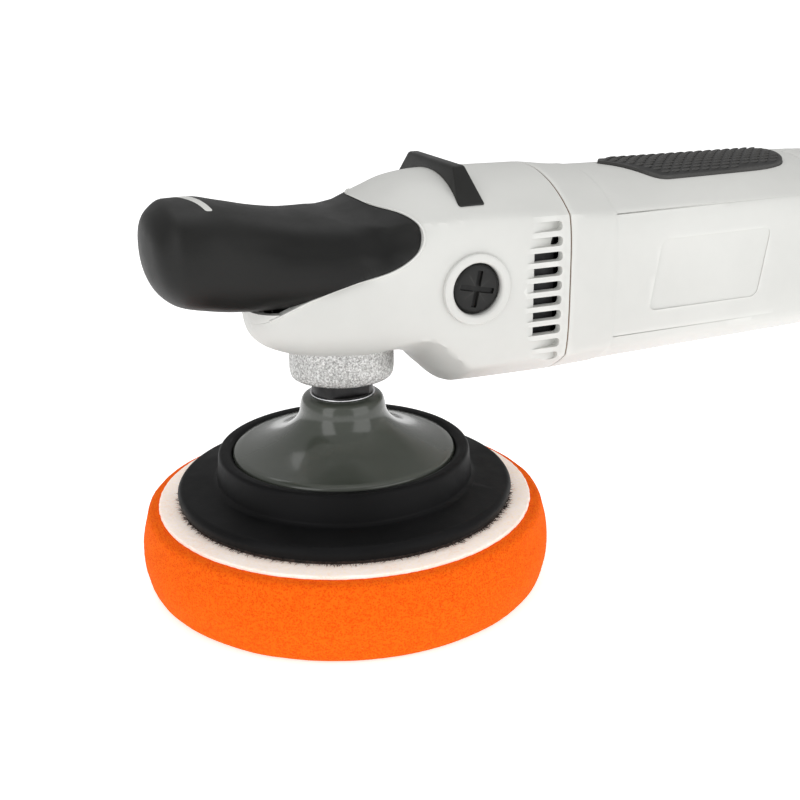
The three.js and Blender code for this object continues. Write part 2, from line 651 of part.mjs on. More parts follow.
add(motor, "commutator", sleeve(shaftRadius + 0.1, commutatorRadius, commutatorFrom, commutatorFrom + 14, along, 24), "copper");

const fanFrom = headSeam + 5.6;
const blades = Array.from({ length: 11 }, (_, i) =>
  solid(new THREE.BoxGeometry(8, 1.4, fanRadius - 9.4).translate(fanFrom + 5.5, 0, 8.8 + (fanRadius - 9.4) / 2))
    .rotate([(i * 360) / 11, 0, 0]),
);
const fan = blades.reduce(
  (body, blade) => body.add(blade),
  sleeve(shaftRadius + 0.1, 9, fanFrom, fanFrom + 9.5, along).add(
    sleeve(shaftRadius + 0.1, fanRadius, fanFrom + 8, fanFrom + 9.5, along),
  ),
);
add(motor, "cooling_fan", fan, "blackPlastic");
add(motor, "air_baffle", sleeve(17.5, statorRadius - 0.6, fanFrom + 10, fanFrom + 11.2, along), "blackPlastic");

// Field coils: flat rounded loops wrapped on a cylinder, one above and one below the armature.
function fieldCoil(up, spread) {
  const loop = { reach: statorLength / 2 + 4, arc: 0.98, inner: armatureRadius + 2, outer: armatureRadius + 7.4 };
  const half = 2.2 + spread;
  const middle = (statorFrom + statorTo) / 2;
  const round = 0.32;
  const path = [];
  for (const [a, b, turn] of [[1, 1, 0], [-1, 1, 1], [-1, -1, 2], [1, -1, 3]]) {
    for (const part of [0, 0.5, 1]) {
      const angle = (turn + part) * (Math.PI / 2);
      path.push([
        a * (loop.reach - 7) + 7 * Math.cos(angle),
        b * (loop.arc - round) + round * Math.sin(angle),
        angle,
      ]);
    }
  }
  const rings = path.map(([x, arc, angle]) =>
    [[-half, loop.inner - spread], [half, loop.inner - spread], [half, loop.outer + spread], [-half, loop.outer + spread]].map(
      ([off, radius]) => {
        const turn = arc + (off * Math.sin(angle)) / (armatureRadius + 4.4);
        return [middle + x + off * Math.cos(angle), radius * Math.sin(turn), up * radius * Math.cos(turn)];
      },
    ),
  );
  return skin(rings, true);
}
const stator = sleeve(armatureRadius + 0.8, statorRadius, statorFrom, statorTo, along, 32);
add(motor, "stator_core", stator.subtract(fieldCoil(1, 0.3)).subtract(fieldCoil(-1, 0.3)), "laminate");
add(motor, "field_coil_upper", fieldCoil(1, 0), "copper");
add(motor, "field_coil_lower", fieldCoil(-1, 0), "copper");

const brushX = commutatorFrom + 7;
for (const [name, side] of [["left", -1], ["right", 1]]) {
  const y = (from, to) => side * ((from + to) / 2);
  const holder = bar(brushX, y(13, 30), 0, 9, 17, 11).subtract(bar(brushX, y(10, 40), 0, 6.4, 30, 8.4));
  add(motor, `brush_holder_${name}`, holder, "bronze");
  add(motor, `carbon_brush_${name}`, bar(brushX, y(commutatorRadius + 0.3, 25), 0, 6, 24.7 - commutatorRadius, 8), "carbon");
}

// Motor housing: the casing, a rear wall that carries the bearing, and four screw posts.
const wallFrom = rearBearing + 6.4;
const wallTo = wallFrom + 3;
const postDrop = 4.3; // the lower posts reach this much further down, to the belly of the casing
const posts = screwPlaces.flatMap(([y, z]) =>
  [0, z < 0 ? postDrop : 0].map((drop) =>
    rod(4.6, headSeam + seat / 2, headSeam + 14, along, 10).translate([0, y * 1.06, z * 1.06 - drop]),
  ),
);
const rearWall = casing(motorStations, 1, wallFrom, wallTo);
const rearWindow = Array.from({ length: 4 }, (_, i) =>
  bar(wallFrom, 0, 21.5, 20, 18, 9).rotate([45 + i * 90, 0, 0]),
);
const gripOutline = [
  [103, 0], [117, -19.5], [rearSeam - 20, -18], [rearSeam - 12, -15], [rearSeam - 8, -10], [rearSeam - 6.6, 0],
];
const gripPlan = [...gripOutline, ...gripOutline.slice(1, -1).toReversed().map(([x, y]) => [x, -y])];
const housing = [
  ...rearWindow,
  rod(9.65, rearBearing - 1, wallFrom, along),
  rod(shaftRadius + 1, wallFrom - 1, wallTo + 1, along),
  ...screwPlaces.map(([y, z]) => rod(2, headSeam - 1, headSeam + 13, along, 10).translate([0, y, z])),
  plan(grown(gripPlan, seat), 10, 60).subtract(casing(motorStations, 1.5, headSeam, rearSeam)),
].reduce(
  (body, cut) => body.subtract(cut),
  posts.reduce((body, post) => body.add(post), casing(motorStations, 0, headSeam + seat / 2, rearSeam - seat / 2)
    .subtract(casing(motorStations, wall, headSeam, rearSeam))
    .add(rearWall)
    .add(rod(13, rearBearing - 0.5, wallTo, along))),
);
const recessFace = barrelHalf - 1.6;
const recess = [[109.6, 11.7], [157.6, 11.7], [153.4, -14], [105.4, -14]];
const recessCut = (side) => sideOn(recess, side < 0 ? -60 : recessFace, side < 0 ? -recessFace : 60);
add(motor, "motor_housing", housing.subtract(recessCut(-1)).subtract(recessCut(1)), "casing");
const gripSkin = casing(motorStations, -gripRaise, headSeam + 20, rearSeam - 2)
  .subtract(casing(motorStations, 1.2, headSeam, rearSeam))
  .intersect(plan(gripPlan, 10, 60));
add(motor, "top_grip", gripSkin, "rubber");

// ---------------------------------------------------------------- rear handle

const handle = assembly("rear_handle");

const handleStations = [
  barrelRear, [rearSeam + 16, barrelHalf - 2.1, axisZ + barrelHalf - 2.9, axisZ - barrelHalf + 1, 3.8, 50],
  [rearSeam + 34, 28, 137.5, 80.5, 3, 60], [rearSeam + 52, 21.5, 131.5, 86, 2.5, 80],
  [rearSeam + 76, 19.4, 127.5, 86, 2.4, 90], [tail - 80, 18.8, 125.5, 84, 2.4, 90],
  [tail - 44, 19.4, 124.5, 83, 2.4, 90], [tail - 16, 20.6, 124, 81.5, 2.5, 90],
  [tail - 4, 19, 122, 84, 2.5, 90], [tail, 15.5, 118.5, 88, 2.5, 90],
];
const triggerPivot = { x: rearSeam + 62, z: 93.5 };
const triggerLength = 58;
const triggerEnd = triggerPivot.x + triggerLength;
const triggerHalf = 7.5;
const dialCentre = { x: rearSeam + 44, z: 122 };
const dialRadius = 12.5;
const dialHalf = 2.6;
const lockPlace = { x: rearSeam + 68, z: 108 };
const lockRadius = 4.5;
const glandZ = 103;
const glandRadius = 7;
const handleScrews = [[rearSeam + 17, axisZ - barrelHalf + 13.5], [rearSeam + 40, 93], [tail - 22, 96]];
const screwHead = 12;

// Intake slots behind the seam: one on each side and two on the top at each place.
const intakeWidth = 2.6;
const intakePitch = 5;
const intakes = Array.from({ length: 5 }, (_, i) => {
  const x = rearSeam + 6.5 + intakePitch * i;
  const top = (side) => bar(x, side * 13, 145, intakeWidth, 18, 29);
  return bar(x, 0, axisZ, intakeWidth, 100, 40 - 2 * i).add(top(1)).add(top(-1));
});
const handleHollow = [
  casing(handleStations, wall, rearSeam, tail - wall),
  bar((triggerPivot.x + triggerEnd) / 2, 0, 80, triggerEnd - triggerPivot.x + 12, 2 * (triggerHalf + 0.5), 24),
  bar(dialCentre.x, 0, 130, 2 * dialRadius + 2, 2 * (dialHalf + 0.5), 26),
  rod(lockRadius + 0.3, -40, 0, sideways).translate([lockPlace.x, 0, lockPlace.z]),
  rod(glandRadius + 0.2, tail - 10, tail + 10, along).translate([0, 0, glandZ]),
  ...intakes,
];
const postReach = barrelHalf - 11.5;
const screwPost = ([x, z]) => rod(4.8, -postReach, postReach, sideways, 10).translate([x, 0, z]);
const screwBores = handleScrews.flatMap(([x, z]) => [
  rod(2.1, -12, 40, sideways, 10).translate([x, 0, z]),
  rod(3.6, screwHead, 60, sideways, 12).translate([x, 0, z]),
]);
const handleForm = casing(handleStations, 0, rearSeam + seat / 2, tail);
const handleBody = screwBores.reduce(
  (body, bore) => body.subtract(bore),
  handleScrews.reduce(
    (body, place) => body.add(screwPost(place).intersect(handleForm)),
    handleHollow.reduce((body, cut) => body.subtract(cut), handleForm),
  ),
);
const halfSpace = (side) => bar((rearSeam + tail) / 2, side * (50 + seat / 2), 108, handleLength + 60, 100, 140);
add(handle, "handle_shell_left", handleBody.intersect(halfSpace(-1)), "casing");
add(handle, "handle_shell_right", handleBody.intersect(halfSpace(1)), "casing");
handleScrews.forEach(([x, z], i) => {
  const screw = screwShape(1.8, 3.3, 2.6, 24, sideways).mirror([0, 1, 0]).translate([x, screwHead + 3, z]);
  add(handle, `handle_screw_${i + 1}`, screw, "steel");
});

// Rubber sleeve over the back of the handle, open below for the trigger.
const sleeveFrom = rearSeam + 78;
const sleeveTo = tail - 30;
const rubberSleeve = casing(handleStations, -1.6, sleeveFrom, sleeveTo)
  .subtract(casing(handleStations, -seat, sleeveFrom - 1, sleeveTo + 1))
  .subtract(bar(triggerPivot.x, 0, 80, 2 * (triggerEnd - triggerPivot.x) + 14, 2 * (triggerHalf + 1.6), 24));
add(handle, "rear_grip", rubberSleeve, "rubber");

const pinRadius = 1.6;
const triggerOutline = [
  [-4, -3], [-2.6, 3], [3, 3.6], [10, -3.6], [50, -5.2], [55, -6], [57, -9], [52, -14.5],
  [38, -17.4], [22, -17.6], [8, -15], [-1, -9],
].map(([x, z]) => [triggerPivot.x + x, triggerPivot.z + z]);
const trigger = sideOn(triggerOutline, -triggerHalf, triggerHalf).subtract(
  rod(pinRadius + 0.2, -20, 20, sideways, 16).translate([triggerPivot.x, 0, triggerPivot.z]),
);
add(handle, "trigger", trigger, "blackPlastic");
add(handle, "trigger_pin", rod(pinRadius, -10, 10, sideways, 16).translate([triggerPivot.x, 0, triggerPivot.z]), "steel");

const switchFrom = triggerPivot.x + 16;
add(handle, "switch_body", bar(switchFrom + 15, 0, 107, 30, 18, 15), "blackPlastic");

const lockFace = stationAt(handleStations, lockPlace.x)[1] + 2.6;
const lock = rod(lockRadius, -lockFace, -12, sideways, 20).add(rod(lockRadius + 1.4, -14.4, -12.4, sideways, 20));
add(handle, "lock_button", lock.translate([lockPlace.x, 0, lockPlace.z]), "blackPlastic");

const knurls = Array.from({ length: 40 }, (_, i) => {
  const angle = (i * Math.PI) / 20;
  const radius = dialRadius - (i % 2) * 0.7;
  return [radius * Math.cos(angle), radius * Math.sin(angle)];
});
const dial = sideOn(knurls, -dialHalf, dialHalf).add(rod(2, -6, 6, sideways, 16));
add(handle, "speed_dial", dial.translate([dialCentre.x, 0, dialCentre.z]), "blackPlastic");
add(handle, "speed_control_board", bar(dialCentre.x - 6, 0, 104, 34, 26, 1.6), "board");

const gland = turned(
  [
    [3.6, tail - 12], [glandRadius + 2, tail - 12], [glandRadius + 2, tail - 10 + 3.6],
    [glandRadius, tail - 10 + 3.6], [glandRadius, tail + 6], [glandRadius - 1, tail + 7], [3.6, tail + 7],
    [3.6, tail - 12],
  ],
  along,
  24,
);
add(handle, "cord_inlet", gland.translate([0, 0, glandZ]), "rubber");

polisher.position.z = -padFace;

export default polisher;
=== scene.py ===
import random
from math import atan2, cos, hypot, pi, radians, sin, sqrt
import bmesh
import bpy
from mathutils import Matrix, Vector, noise


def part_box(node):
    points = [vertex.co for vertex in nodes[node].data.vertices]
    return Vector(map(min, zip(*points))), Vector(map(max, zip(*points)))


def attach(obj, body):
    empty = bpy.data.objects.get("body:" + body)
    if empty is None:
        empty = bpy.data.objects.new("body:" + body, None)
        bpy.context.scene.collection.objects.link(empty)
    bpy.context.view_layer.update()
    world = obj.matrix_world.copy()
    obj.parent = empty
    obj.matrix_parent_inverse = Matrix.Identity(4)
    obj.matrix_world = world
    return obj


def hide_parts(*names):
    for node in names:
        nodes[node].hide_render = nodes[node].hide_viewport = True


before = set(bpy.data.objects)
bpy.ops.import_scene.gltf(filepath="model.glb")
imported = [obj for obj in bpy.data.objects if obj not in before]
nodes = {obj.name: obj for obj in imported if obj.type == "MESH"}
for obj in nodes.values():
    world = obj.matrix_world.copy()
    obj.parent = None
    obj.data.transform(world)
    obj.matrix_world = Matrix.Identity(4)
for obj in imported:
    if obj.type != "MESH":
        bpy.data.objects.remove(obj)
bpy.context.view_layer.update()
MM = 0.001

# ------------------------------------------------------------------ studio
# A plain white sweep under a bright tent, with one tall softbox on each side of the camera, as a
# tool is set up on a photographer's table. The camera stands at the tool's left front.
eye = bpy.data.cameras.new("eye")
eye.lens = 54
eye.sensor_width = 36
eye.clip_end = 50
camera = bpy.data.objects.new("camera", eye)
bpy.context.scene.collection.objects.link(camera)
heading, dip, tilt = radians(22.9), radians(19.9), radians(-0.75)
look = Vector((sin(heading) * cos(dip), cos(heading) * cos(dip), -sin(dip)))
right = Vector((cos(heading), -sin(heading), 0))
up = right.cross(look)
side = right * cos(tilt) + up * sin(tilt)
rise = up * cos(tilt) - right * sin(tilt)
turn = Matrix((side, rise, -look)).transposed().to_4x4()
camera.matrix_world = Matrix.Translation((-0.1395, -0.3834, 0.212)) @ turn
bpy.context.scene.camera = camera
bpy.context.scene.view_settings.view_transform = "Standard"


def new_material(name):
    made = bpy.data.materials.new(name)
    made.use_nodes = True
    tree = made.node_tree
    shader = next(n for n in tree.nodes if n.type == "BSDF_PRINCIPLED")
    return made, tree, shader


def mesh_object(name, bm):
    mesh = bpy.data.meshes.new(name)
    bm.to_mesh(mesh)
    bm.free()
    piece = bpy.data.objects.new(name, mesh)
    bpy.context.scene.collection.objects.link(piece)
    return piece


paper, tree, shader = new_material("paper_sweep")
shader.inputs["Roughness"].default_value = 0.6
shader.inputs["Specular IOR Level"].default_value = 0.2
shader.inputs["Emission Color"].default_value = (1, 1, 1, 1)
shader.inputs["Emission Strength"].default_value = 0.62
fibres = tree.nodes.new("ShaderNodeTexNoise")
fibres.inputs["Scale"].default_value = 40
shade = tree.nodes.new("ShaderNodeMapRange")
shade.inputs["To Min"].default_value = 0.91
shade.inputs["To Max"].default_value = 0.95
tree.links.new(fibres.outputs["Fac"], shade.inputs["Value"])
tree.links.new(shade.outputs["Result"], shader.inputs["Base Color"])
bm = bmesh.new()
bmesh.ops.create_grid(bm, x_segments=1, y_segments=1, size=12)
floor = mesh_object("floor", bm)
floor.data.materials.append(paper)

world = bpy.data.worlds.new("tent")
bpy.context.scene.world = world
world.use_nodes = True
backdrop = world.node_tree.nodes["Background"]
backdrop.inputs["Color"].default_value = (1, 1, 1, 1)
backdrop.inputs["Strength"].default_value = 0.5


def softbox(name, place, target, width, height, power):
    lamp = bpy.data.lights.new(name, "AREA")
    lamp.shape = "RECTANGLE"
    lamp.size, lamp.size_y, lamp.energy = width, height, power
    holder = bpy.data.objects.new(name, lamp)
    bpy.context.scene.collection.objects.link(holder)
    aim = (Vector(target) - Vector(place)).to_track_quat("-Z", "Y")
    holder.matrix_world = Matrix.Translation(place) @ aim.to_matrix().to_4x4()


softbox("key_box", (-0.98, -0.55, 0.42), (0, 0, 0.08), 0.6, 1.5, 4.8)
softbox("fill_box", (0.66, -1.15, 0.42), (0.1, 0, 0.08), 1.1, 1.5, 7.2)
softbox("top_box", (0.1, 0.35, 1.2), (0.05, 0, 0.05), 1.0, 1.0, 4.0)

# ------------------------------------------------------------------ foam pad
# The pad is a thick disc of open-cell polishing foam, cut with a rounded side so that its edge
# can't scorch paint. Its cells show as fine pores over the whole orange surface.


def rounded(corners, steps=6):
    """The outline through (r, h, radius) corners, each one turned into an arc-like curve."""
    run = []
    for i, (r, h, radius) in enumerate(corners):
        here = Vector((r, h))
        if not radius or i in (0, len(corners) - 1):
            run.append(here)
            continue
        before = Vector(corners[i - 1][:2]) - here
        after = Vector(corners[i + 1][:2]) - here
        a = here + before.normalized() * min(radius, before.length * 0.49)
        b = here + after.normalized() * min(radius, after.length * 0.49)
        for k in range(steps + 1):
            t = k / steps
            run.append(a * (1 - t) ** 2 + here * 2 * t * (1 - t) + b * t * t)
    return run


def fine(run, gap):
    """The same outline with no stretch longer than the gap."""
    out = [run[0]]
    for a, b in zip(run, run[1:]):
        parts = max(1, round((b - a).length / gap))
        out += [a.lerp(b, (k + 1) / parts) for k in range(parts)]
    return out


def turned(name, outline, axis="Z", centre=(0, 0, 0), steps=160):
    """A solid of revolution from (radius, height) points in millimetres."""
    ways = {"Z": ((1, 0, 0), (0, 0, 1)), "X": ((0, 0, 1), (1, 0, 0)), "Y": ((0, 0, 1), (0, 1, 0))}
    out, along = (Vector(way) for way in ways[axis])
    middle = Vector(centre)
    bm = bmesh.new()
    verts = [bm.verts.new((middle + out * r + along * h) * MM) for r, h in outline]
    edges = [bm.edges.new(pair) for pair in zip(verts, verts[1:])]
    bmesh.ops.spin(
        bm, geom=verts + edges, cent=middle * MM, axis=along, angle=2 * pi, steps=steps, use_merge=True
    )
    bmesh.ops.remove_doubles(bm, verts=bm.verts, dist=1e-6)
    bmesh.ops.recalc_face_normals(bm, faces=bm.faces)
    return mesh_object(name, bm)


def smooth(piece, degrees=32):
    """Soft shading, except over edges sharper than this angle."""
    piece.data.polygons.foreach_set("use_smooth", [True] * len(piece.data.polygons))
    piece.data.set_sharp_from_angle(angle=radians(degrees))
    return piece


def settle(piece, material, body, slot, *stands_for):
    piece.data.materials.clear()
    piece.data.materials.append(material)
    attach(piece, body)
    if stands_for:
        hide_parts(*stands_for)


def coordinates(tree):
    return tree.nodes.new("ShaderNodeTexCoord").outputs["Object"]


def noise_node(tree, scale, detail=4, rough=0.55, source=None):
    node = tree.nodes.new("ShaderNodeTexNoise")
    node.inputs["Scale"].default_value = scale
    node.inputs["Detail"].default_value = detail
    node.inputs["Roughness"].default_value = rough
    tree.links.new(source or coordinates(tree), node.inputs["Vector"])
    return node.outputs["Fac"]


def ramp(tree, value, stops):
    node = tree.nodes.new("ShaderNodeValToRGB")
    for element, (position, color) in zip(node.color_ramp.elements, (stops[0], stops[-1])):
        element.position, element.color = position, (*color, 1)
    for position, color in stops[1:-1]:
        node.color_ramp.elements.new(position).color = (*color, 1)
    tree.links.new(value, node.inputs["Fac"])
    return node.outputs["Color"]


def spread(tree, value, low, high, start=0.3, end=0.7):
    node = tree.nodes.new("ShaderNodeMapRange")
    for key, number in (("From Min", start), ("From Max", end), ("To Min", low), ("To Max", high)):
        node.inputs[key].default_value = number
    tree.links.new(value, node.inputs["Value"])
    return node.outputs["Result"]


def bumped(tree, height, strength, distance, below=None):
    node = tree.nodes.new("ShaderNodeBump")
    node.inputs["Strength"].default_value = strength
    node.inputs["Distance"].default_value = distance
    tree.links.new(height, node.inputs["Height"])
    if below:
        tree.links.new(below, node.inputs["Normal"])
    return node.outputs["Normal"]


pad_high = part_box("foam_pad")[1]
pad_radius = pad_high.x / MM
pad_top = pad_high.z / MM
pad_run = fine(
    rounded(
        [
            (0, 0, 0), (pad_radius - 2.6, 0, 4), (pad_radius + 0.5, 14, 16),
            (pad_radius - 3.2, pad_top, 2.6), (0, pad_top, 0),
        ],
        steps=14,
    ),
    1.2,
)
foam_pad = turned("foam_disc", pad_run, steps=420)
for vert in foam_pad.data.vertices:
    radius = hypot(vert.co.x, vert.co.y)
    if radius > 0.055:
        shade = noise.noise(vert.co * 900) * 0.10 + noise.noise(vert.co * 90) * 0.22
        vert.co *= 1 + shade * MM / vert.co.length
smooth(foam_pad, 80)

foam, tree, shader = new_material("orange_foam")
cells = tree.nodes.new("ShaderNodeTexVoronoi")
cells.inputs["Scale"].default_value = 1500
tree.links.new(coordinates(tree), cells.inputs["Vector"])
pores = spread(tree, cells.outputs["Distance"], 0, 1, 0.05, 0.55)
clouds = noise_node(tree, 500, 6, 0.7)
mix = tree.nodes.new("ShaderNodeMath")
mix.operation = "MULTIPLY"
tree.links.new(pores, mix.inputs[0])
tree.links.new(clouds, mix.inputs[1])
orange = [(0.04, (0.84, 0.070, 0.001)), (0.22, (0.95, 0.098, 0.002)), (0.5, (1.0, 0.15, 0.005))]
tree.links.new(ramp(tree, mix.outputs[0], orange), shader.inputs["Base Color"])
shader.inputs["Roughness"].default_value = 0.95
shader.inputs["Specular IOR Level"].default_value = 0.1
shader.inputs["Subsurface Weight"].default_value = 0.12
shader.inputs["Subsurface Radius"].default_value = (1.0, 0.25, 0.04)
shader.inputs["Subsurface Scale"].default_value = 0.003
low = bumped(tree, noise_node(tree, 1400, 3, 0.6), 0.5, 0.0004)
tree.links.new(bumped(tree, pores, 0.55, 0.0005, low), shader.inputs["Normal"])
settle(foam_pad, foam, "spindle_group", "foam", "foam_pad")

# ------------------------------------------------------------------ loop backing
# A disc of brushed loop cloth, pale pink from the foam's dye, is flame-bonded to the pad's top.
# Its cut edge is slightly ragged and its pile is brushed up. The cloth also has a faint pinkish glow, which is
# painted light that brightens it.
loop_low, loop_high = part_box("pad_loop_backing")
loop_radius = loop_high.x / MM
loop_bottom, loop_top = loop_low.z / MM, loop_high.z / MM
loop_edge = [
    (0, loop_bottom, 0), (loop_radius, loop_bottom, 0.2), (loop_radius, loop_top, 0.8), (0, loop_top, 0),
]
loop_run = fine(rounded(loop_edge), 0.8)
loop_disc = turned("loop_cloth", loop_run, steps=420)
for vert in loop_disc.data.vertices:
    radius = hypot(vert.co.x, vert.co.y) / MM
    if radius > 50:
        fray = noise.noise(vert.co * 500) * 0.35 + noise.noise(vert.co * 2000) * 0.3
        if radius > loop_radius - 1.5:
            vert.co.x *= 1 + fray * 0.006
            vert.co.y *= 1 + fray * 0.006
        if vert.co.z / MM > loop_top - 0.2:
            vert.co.z += noise.noise(vert.co * 1500) * 0.16 * MM
smooth(loop_disc, 80)
velour, tree, shader = new_material("pink_loop_cloth")
pile = noise_node(tree, 900, 5, 0.7)
patch = noise_node(tree, 60, 3)
blend = tree.nodes.new("ShaderNodeMath")
blend.operation = "ADD"
tree.links.new(pile, blend.inputs[0])
tree.links.new(spread(tree, patch, -0.12, 0.12), blend.inputs[1])
pinks = [(0.3, (0.94, 0.74, 0.63)), (0.5, (1.0, 0.88, 0.79)), (0.7, (1.0, 0.95, 0.89))]
tree.links.new(ramp(tree, blend.outputs[0], pinks), shader.inputs["Base Color"])
shader.inputs["Roughness"].default_value = 1
shader.inputs["Sheen Weight"].default_value = 0.6
shader.inputs["Sheen Roughness"].default_value = 0.4
# Painted light: a faint pinkish glow makes the cloth brighter than the lamps alone would.
shader.inputs["Emission Color"].default_value = (1, 0.83, 0.72, 1)
shader.inputs["Emission Strength"].default_value = 0.2
low = bumped(tree, noise_node(tree, 3000, 2, 0.7), 0.3, 0.0003)
tree.links.new(bumped(tree, pile, 0.3, 0.0004, low), shader.inputs["Normal"])
settle(loop_disc, velour, "spindle_group", "velour", "pad_loop_backing")

# ------------------------------------------------------------------ hook face
# Moulded hooks under the plate grip the loop cloth. At the rim the outermost hooks and the loops
# they have torn out stand out as a dark ragged fringe. A second set of longer dark bristles lying out
# over the cloth is partly that fuzz and partly painted shade under the plate's rim.
hook_low, hook_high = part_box("hook_face")
hook_radius = hook_high.x / MM
hook_bottom, hook_top = hook_low.z / MM, hook_high.z / MM
bm = bmesh.new()
random.seed(11)


def bristle(angle, radius, height, lean, swing, length, root, tip):
    """One thin hair from the plate's rim, pointing out along a leaning, swung direction."""
    way = Vector((cos(swing) * sin(lean), sin(swing) * sin(lean), cos(lean)))
    turn = way.to_track_quat("Z", "Y").to_matrix().to_4x4()
    foot = Vector((cos(angle) * radius, sin(angle) * radius, height))
    place = Matrix.Translation((foot + way * length / 2) * MM) @ turn
    bmesh.ops.create_cone(
        bm, cap_ends=True, segments=4, radius1=root * MM, radius2=tip * MM, depth=length * MM, matrix=place
    )


for _ in range(1500):
    angle = random.uniform(0, 2 * pi)
    radius = hook_radius + random.uniform(-1.2, 0.5)
    height = random.uniform(hook_bottom - 0.1, hook_top - 0.1)
    length = random.uniform(0.6, 1.9)
    lean = radians(random.uniform(55, 118))
    swing = angle + random.uniform(-0.7, 0.7)
    bristle(angle, radius, height, lean, swing, length, 0.12, 0.03)
# Longer dark bristles lying out over the cloth: partly torn-out fuzz, partly painted shade under the plate's
# rim.
for _ in range(620):
    angle = random.uniform(0, 2 * pi)
    lean, swing = radians(random.uniform(62, 112)), angle + random.uniform(-1.1, 1.1)
    height = random.uniform(hook_low.z, hook_high.z) / MM
    bristle(angle, hook_radius, height, lean, swing, random.uniform(1.2, 3.0), 0.10, 0.02)
hook_rim = mesh_object("hook_bristles", bm)
hook_run = rounded(
    [(0, hook_bottom, 0), (hook_radius, hook_bottom, 0.3), (hook_radius, hook_top, 0.3), (0, hook_top, 0)]
)
hook_disc = turned("hook_sheet", fine(hook_run, 2), steps=160)
smooth(hook_disc, 60)
hooks, tree, shader = new_material("dark_hook_pile")
tree.links.new(
    ramp(tree, noise_node(tree, 900, 4), [(0.35, (0.012, 0.010, 0.009)), (0.65, (0.06, 0.035, 0.028))]),
    shader.inputs["Base Color"],
)
shader.inputs["Roughness"].default_value = 0.8
tree.links.new(bumped(tree, noise_node(tree, 2500, 2), 0.6, 0.0004), shader.inputs["Normal"])
settle(hook_disc, hooks, "spindle_group", "hook", "hook_face")
settle(hook_rim, hooks, "spindle_group", "hook")

# ------------------------------------------------------------------ backing plate
# The plate is moulded in one piece of firm black rubber: a flange with a rolled outer bead, and a
# thick ring that stands up round the hub. It is rubbed to a soft shine along its edges.
plate_low, plate_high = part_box("backing_plate")
plate_radius = plate_high.x / MM
plate_foot, plate_top = plate_low.z / MM, plate_high.z / MM
hub_low, hub_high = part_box("plate_hub")
hub_radius = hub_high.x / MM
plate_run = rounded(
    [
        (0, plate_foot, 0), (plate_radius - 0.5, plate_foot, 0.5), (plate_radius, plate_foot + 2.6, 0.9),
        (plate_radius - 1.2, plate_foot + 4.5, 1.0), (plate_radius - 3.4, plate_foot + 4.7, 1.0),
        (47.9, plate_foot + 5.7, 0.7), (46.6, plate_foot + 6.4, 0.6), (45.7, plate_top - 0.9, 1.0),
        (44.9, plate_top, 0.7), (42.4, plate_top, 0.8), (hub_radius + 0.35, plate_top - 1.2, 0.8),
        (hub_radius + 0.35, hub_low.z / MM - 0.1, 0), (0, hub_low.z / MM - 0.1, 0),
    ],
    steps=8,
)
plate = turned("rubber_plate", plate_run, steps=200)
smooth(plate, 50)


def moulded(name, dark, light, roughness, patches=30, grain=900, depth=0.1, edge=0.0, shine=0.32):
    """Moulded plastic or rubber: cloudy colour, uneven gloss, a fine cast grain and rubbed edges."""
    made, tree, shader = new_material(name)
    shader.inputs["Specular IOR Level"].default_value = shine
    clouds = noise_node(tree, patches, 5, 0.6)
    color = ramp(tree, clouds, [(0.35, dark), (0.65, light)])
    if edge:
        geometry = tree.nodes.new("ShaderNodeNewGeometry")
        rub = spread(tree, geometry.outputs["Pointiness"], 0, 1, 0.51, 0.56)
        mix = tree.nodes.new("ShaderNodeMix")
        mix.data_type = "RGBA"
        tree.links.new(rub, mix.inputs["Factor"])
        tree.links.new(color, mix.inputs["A"])
        mix.inputs["B"].default_value = (*[min(1, c * (1 + edge)) for c in light], 1)
        color = mix.outputs["Result"]
    tree.links.new(color, shader.inputs["Base Color"])
    tree.links.new(
        spread(tree, noise_node(tree, patches * 4, 4, 0.6), roughness * 0.86, roughness * 1.12),
        shader.inputs["Roughness"],
    )
    wide = bumped(tree, noise_node(tree, patches * 3, 2), 0.05, 0.001)
    cast = bumped(tree, noise_node(tree, grain, 3, 0.6), depth, 0.0003, wide)
    tree.links.new(cast, shader.inputs["Normal"])
    return made


plate_rubber = moulded(
    "black_plate_rubber", (0.004, 0.004, 0.0042), (0.008, 0.008, 0.0085), 0.5, 25, 1200, 0.12, 1.2, 0.09
)
settle(plate, plate_rubber, "spindle_group", "rubber", "backing_plate")

# ------------------------------------------------------------------ plate hub
# The hub is a bell of glossy grey-green plastic, moulded round a steel M14 insert. It flares from
# a round shoulder under the neck to a thin foot that lies inside the plate's ring.
hub_foot, hub_top = hub_low.z / MM, hub_high.z / MM
insert_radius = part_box("hub_insert")[1].x / MM
bell = [Vector((hub_radius - a, h)) for a, h in ((0, hub_foot), (0, plate_top - 0.7), (0.7, plate_top + 0.1))]
shoulder_radius, flare_top = 15.4, hub_top - 4.6
for k in range(1, 29):
    t = k / 28
    spring = (1 - t) ** 2.05
    reach = shoulder_radius + (hub_radius - 1.2 - shoulder_radius) * spring
    bell.append(Vector((reach, plate_top + 0.2 + (flare_top - plate_top) * t**1.25)))
bell += rounded(
    [
        (shoulder_radius, flare_top + 0.2, 0), (14.6, hub_top - 1.0, 3.0), (11.8, hub_top, 2.0),
        (insert_radius + 0.2, hub_top, 0), (insert_radius + 0.2, hub_foot, 0), (hub_radius, hub_foot, 0),
    ]
)[1:]
hub = turned("hub_bell", bell, steps=200)
smooth(hub, 50)
hub_plastic = moulded(
    "grey_green_plastic", (0.055, 0.061, 0.050), (0.066, 0.073, 0.060), 0.2, 12, 300, 0.015, 0, 0.4
)
hub_shader = next(n for n in hub_plastic.node_tree.nodes if n.type == "BSDF_PRINCIPLED")
hub_shader.inputs["Coat Weight"].default_value = 0.35
hub_shader.inputs["Coat Roughness"].default_value = 0.1
settle(hub, hub_plastic, "spindle_group", "hub_plastic", "plate_hub")

